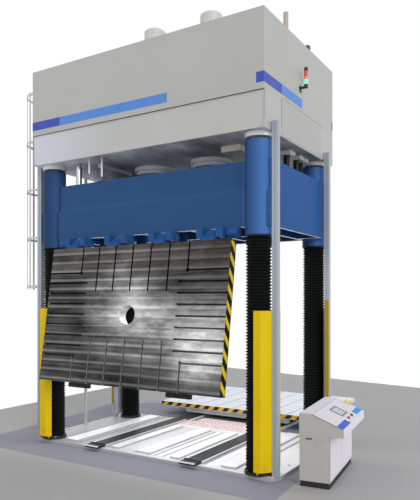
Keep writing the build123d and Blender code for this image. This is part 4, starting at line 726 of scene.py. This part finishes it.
# Hazard stripes on both side edges of the platen, inset from its ends, back and face
END_INSET, BACK_INSET, FACE_INSET = 0.020, 0.012, 0.004
EDGE_PERIOD, EDGE_SHARE, EDGE_OFFSET = 0.226, 0.56, 0.07
STRIPE_DEPTH = 0.001
EDGE_SPANS = [((PLATEN_LOW + END_INSET, PLATEN_HIGH - END_INSET),
               (PLATEN_BACK + BACK_INSET, PLATEN_FACE - FACE_INSET))]
for side, side_name in ((-1, "left"), (1, "right")):
    number = side + 2  # 1 at the left, 3 at the right
    edge = (HINGE + ACROSS * side * PLATEN_HALF, UP, OUT, ACROSS * side)
    stripes = striped(f"hazard_edge_{number}", UP - OUT * side, EDGE_PERIOD, BLACK, YELLOW,
                      EDGE_SHARE, EDGE_OFFSET)
    plate = slabs(f"platen_edge_{number}", edge, EDGE_SPANS, STRIPE_DEPTH)
    piece(f"platen_hazard_{side_name}", plate, stripes, "platen")

# Hazard stripes along the front edge of the table
TABLE_FRONT, TABLE_HALF, TABLE_STRIPE = 1.785, 1.75, (0.222, 0.298)
table_edge = ((-TABLE_HALF, TABLE_HALF), (TABLE_FRONT - STRIPE_DEPTH, TABLE_FRONT), TABLE_STRIPE)
piece("table_hazard", boxes("table_edge", [table_edge]),
      striped("hazard_table", (1.0, 0.0, -1.0), 0.23, BLACK, srgb(226, 172, 20)),
      "table")

# Screws on the tops of the crosshead sleeves and dark rims round their lower ends
SLEEVE_TOP, SCREW_CIRCLE, SCREWS = 4.765, 0.186, 12
SCREW_PROFILE = [(0.007, 0), (0.007, 0.0064), (0.00602, 0.008)]
RIM_PROFILE = [(0.197, 3.412), (0.1985, 3.412), (0.1985, 3.432), (0.197, 3.432)]
screw_places = [(x + SCREW_CIRCLE * math.cos(2 * math.pi * i / SCREWS),
                 y + SCREW_CIRCLE * math.sin(2 * math.pi * i / SCREWS), SLEEVE_TOP)
                for x, y in COLUMNS for i in range(SCREWS)]
piece("sleeve_screws", turned("sleeve_screws", SCREW_PROFILE, screw_places, 10),
      MATERIALS["ground_steel"], "ram")
rims = turned("lower_rims", RIM_PROFILE, [(x, y, 0) for x, y in COLUMNS], 64)
piece("sleeve_lower_rims", rims, MATERIALS["painted_dark"], "ram", True)

# Noses of both tracks at the front edge of the bed, each edged with bright strips
TRACK_X, TRACK_HALF, TRACK_FRONT, NOSE_FRONT = 0.95, 0.14, -1.150, -1.285
BED_TOP, NOSE_TOP = 0.050, 0.089
STRIP_LOW, STRIP_LAP, STRIP_DEPTH, STRIP_RISE = 0.072, 0.014, 0.002, 0.001
nose_spans, strip_spans = [], []
for side in (-1, 1):
    across_track = (side * TRACK_X - TRACK_HALF, side * TRACK_X + TRACK_HALF)
    nose_spans.append((across_track, (NOSE_FRONT, TRACK_FRONT), (BED_TOP, NOSE_TOP)))
    strip_spans += [
        (across_track, (NOSE_FRONT - STRIP_DEPTH, NOSE_FRONT), (STRIP_LOW, NOSE_TOP)),
        (across_track, (NOSE_FRONT - STRIP_DEPTH, NOSE_FRONT + STRIP_LAP),
         (NOSE_TOP, NOSE_TOP + STRIP_RISE))]
piece("track_noses", boxes("noses", nose_spans), TRACK_STEEL)
piece("track_end_plates", boxes("end_plates", strip_spans), MATERIALS["painted_light"])


# Seams and flush cover strips of the bed, each (x0, x1, y0, y1)
def on_bed(places, rise):
    """Thin boxes on top of the bed."""
    return [((x0, x1), (y0, y1), (BED_TOP, BED_TOP + rise)) for x0, x1, y0, y1 in places]


BED_SEAMS = (
    (-1.865, -1.805, -0.86, 1.36), (-1.425, -1.355, -1.12, 1.36), (-0.776, -0.716, -1.10, 0.95),
    (-0.200, -0.142, -1.12, 0.78), (0.200, 0.245, -1.10, 0.78), (0.355, 0.395, -1.10, 0.78),
    (1.122, 1.178, -1.12, 1.36), (1.800, 1.850, -0.86, 1.36))
BED_FLATS = (
    (-1.805, -1.425, -0.98, 1.36), (0.142, 0.200, -1.10, 0.78), (0.245, 0.355, -1.10, 0.78),
    (0.395, 0.512, -1.10, 0.78), (1.178, 1.300, -1.12, 1.36))
piece("bed_seams", boxes("bed_seam_strips", on_bed(BED_SEAMS, 0.0015)),
      painted("bed_seam", srgb(158, 160, 170), 0.6, 0.05))
piece("bed_flats", boxes("bed_flat_strips", on_bed(BED_FLATS, 0.001)), BAR_PAINT)

# Hatched plate behind the bed, with a dark sill on three sides; the sill's dark paint is a painted
# shadow of the table
PLATE_HALF, SILL_HALF, PLATE_SPAN = 0.60, 0.62, (1.405, 1.700)
SILL_SPANS = [((-SILL_HALF, SILL_HALF), (PLATE_SPAN[1], 1.770), (0.020, 0.085)),
              ((-SILL_HALF, -PLATE_HALF), PLATE_SPAN, (0.030, 0.070)),
              ((PLATE_HALF, SILL_HALF), PLATE_SPAN, (0.030, 0.070))]
rear_plate = ((-PLATE_HALF, PLATE_HALF), PLATE_SPAN, (0.030, 0.062))
piece("rear_hatch_plate", boxes("rear_hatch", [rear_plate]), HATCH_PAINT)
# Dark sill: painted shadow of the table
piece("rear_hatch_sill", boxes("rear_sill", SILL_SPANS), MATERIALS["painted_dark"])

# Plugs at the upper ends of two platen slots
PLUG_DROP, PLUG_X = 0.155, (-0.350, 0.366)
PLUG_PROFILE = [(0.038, 0.0), (0.038, 0.0015), (0.030, 0.003)]
plug_places = [HINGE - UP * PLUG_DROP + OUT * PLATEN_FACE + ACROSS * x for x in PLUG_X]
plug_turn = Vector(Z_AXIS).rotation_difference(OUT).to_matrix()
piece("slot_plugs", turned("slot_plug_discs", PLUG_PROFILE, plug_places, 24, plug_turn),
      MATERIALS["black_oxide"], "platen")

# Console: plates, seams and screen frame on the desk, hatch and slot in the end panel, seams
# of the doors. Each row is piece, mesh, plane, spans on it, depth, finish and slot.
RISE, CORNER = Vector(Z_AXIS), Vector((3.104, -1.110, 0.0))
DESK_BACK, DESK_HEIGHT, DESK_FALL = 0.240, 0.980, math.atan(0.4)
DESK_TOP = CORNER + INWARD * DESK_BACK + RISE * DESK_HEIGHT
DESK_DOWN = -INWARD * math.cos(DESK_FALL) - RISE * math.sin(DESK_FALL)
DESK_NORMAL = -INWARD * math.sin(DESK_FALL) + RISE * math.cos(DESK_FALL)
BEZEL_HEIGHT = 0.008
DESK = (DESK_TOP, ALONG, DESK_DOWN, DESK_NORMAL)
BEZEL = (DESK_TOP + DESK_NORMAL * BEZEL_HEIGHT, ALONG, DESK_DOWN, DESK_NORMAL)
HOOD_END = (DESK_TOP, DESK_DOWN, DESK_NORMAL, -ALONG)
END_PANEL = (CORNER, INWARD, RISE, -ALONG)
DOORS = (CORNER, ALONG, RISE, -INWARD)
desk_blue = painted("desk_blue", srgb(4, 84, 190), 0.6, 0.02)
desk_sky = painted("desk_sky", srgb(22, 126, 212), 0.6, 0.02)
seam_paint = painted("seam_shadow", srgb(96, 90, 88), 0.7, 0.05)
frame_paint = MATERIALS["painted_dark"]
CONSOLE_PIECES = (
    ("desk_plate_dark", "desk_plate_1", DESK, [((0.005, 0.480), (0.355, 0.448))], 0.0012,
     desk_blue, "painted_blue"),
    ("desk_plate_light", "desk_plate_2", DESK, [((1.045, 1.430), (0.330, 0.420))], 0.0012,
     desk_sky, "painted_blue"),
    ("desk_seam", "desk_seam_strip", DESK, [((0.002, 1.440), (0.003, 0.007))], 0.0004,
     seam_paint, "painted_dark"),
    ("screen_frame", "screen_frame_strips", BEZEL,
     [((0.579, 0.593), (0.100, 0.300)), ((0.877, 0.891), (0.100, 0.300)),
      ((0.593, 0.877), (0.100, 0.112)), ((0.593, 0.877), (0.288, 0.300))], 0.0008,
     frame_paint, "painted_dark"),
    ("hood_edge_seam", "hood_edge_strip", HOOD_END, [((0.0, 0.440), (-0.010, -0.003))], 0.0006,
     seam_paint, "painted_dark"),
    ("end_hatch", "end_hatch_strips", END_PANEL,
     [((0.162, 0.166), (0.500, 0.636)), ((0.058, 0.061), (0.500, 0.636)),
      ((0.061, 0.162), (0.500, 0.505)), ((0.061, 0.162), (0.632, 0.636))], 0.0008,
     seam_paint, "painted_dark"),
    ("end_panel_slot", "end_slot", END_PANEL, [((0.241, 0.331), (0.637, 0.660))], 0.0008,
     seam_paint, "painted_dark"),
    ("door_seams", "door_seam_strips", DOORS,
     [((0.717, 0.720), (0.09, 0.69)), ((0.005, 0.017), (0.085, 0.690)),
      ((0.02, 1.42), (0.0915, 0.0935))], 0.0004,
     seam_paint, "painted_dark"),
)
for name, mesh_name, plane, spans, depth, finish, slot in CONSOLE_PIECES:
    piece(name, slabs(mesh_name, plane, spans, depth), finish)


# ------------------------------------------------------------------ stage
def stage_plane(name, corners, height, colour):
    """A flat piece of floor in matt paint, which isn't part of the object."""
    mesh = mesh_from(name, [(x, y, height) for x, y in corners], [tuple(range(len(corners)))])
    plane = bpy.data.objects.new(name, mesh)
    bpy.context.scene.collection.objects.link(plane)
    shader = Shader(f"{name}_grey")
    tone = shader.vary(colour, shader.noise(0.6), 0.015)
    mesh.materials.append(shader.finish(tone, 0.8, specular=0.1))


# The floor and its darker patch, as far as the photograph shows them
FLOOR_HEIGHT, PATCH_HEIGHT = -0.0008, -0.0004
FLOOR_OUTLINE = [(-5.05, -14.0), (14.0, -14.0), (14.0, 6.25), (1.70, 8.72), (-5.35, 10.12)]
PATCH_OUTLINE = [(-3.16, -1.93), (2.66, -1.98), (2.45, 1.66), (1.68, 3.18), (0.24, 4.75),
                 (-2.68, 2.89), (-3.58, 2.10), (-3.40, 1.35)]
stage_plane("floor", FLOOR_OUTLINE, FLOOR_HEIGHT, srgb(157, 157, 158))
stage_plane("floor_patch", PATCH_OUTLINE, PATCH_HEIGHT, srgb(134, 134, 145))

# ----------------------------------------------------------------- lights
world = bpy.data.worlds.new("studio")
bpy.context.scene.world = world
world.use_nodes = True
world.node_tree.nodes["Background"].inputs["Color"].default_value = (1, 1, 1, 1)
world.node_tree.nodes["Background"].inputs["Strength"].default_value = 1.0


def lamp(name, kind, direction, energy):
    """A light of a kind that shines in a direction; returns its object."""
    light = bpy.data.lights.new(name, kind)
    light.energy = energy
    placed = bpy.data.objects.new(name, light)
    placed.rotation_euler = Vector(direction).to_track_quat("-Z", "Y").to_euler()
    bpy.context.scene.collection.objects.link(placed)
    return placed


# Soft daylight from the front right, and a panel that lights the space over the bed
key = lamp("key", "SUN", (-0.78, 0.48, -0.42), 1.15)
key.data.angle = math.radians(30)

FILL_PLACE, FILL_TARGET = Vector((0.2, -0.3, 3.3)), Vector((0.2, 0.0, 0.0))
fill = lamp("die_space_fill", "AREA", FILL_TARGET - FILL_PLACE, 60)
fill.data.shape = "RECTANGLE"
fill.data.size, fill.data.size_y = 3.2, 1.6
fill.location = FILL_PLACE
fill.visible_camera = False

# ----------------------------------------------------------------- camera
# Solved from edges in the photograph that are level, upright or square to one another
camera_data = bpy.data.cameras.new("camera")
camera_data.lens = 41.57
camera_data.shift_y = 0.0973
camera_data.clip_end = 100
camera = bpy.data.objects.new("camera", camera_data)
camera.location = (5.723, -8.430, 2.525)
camera.rotation_euler = (math.radians(90), 0, math.radians(31.43))
bpy.context.scene.collection.objects.link(camera)
bpy.context.scene.camera = camera
bpy.context.scene.view_settings.view_transform = "Standard"
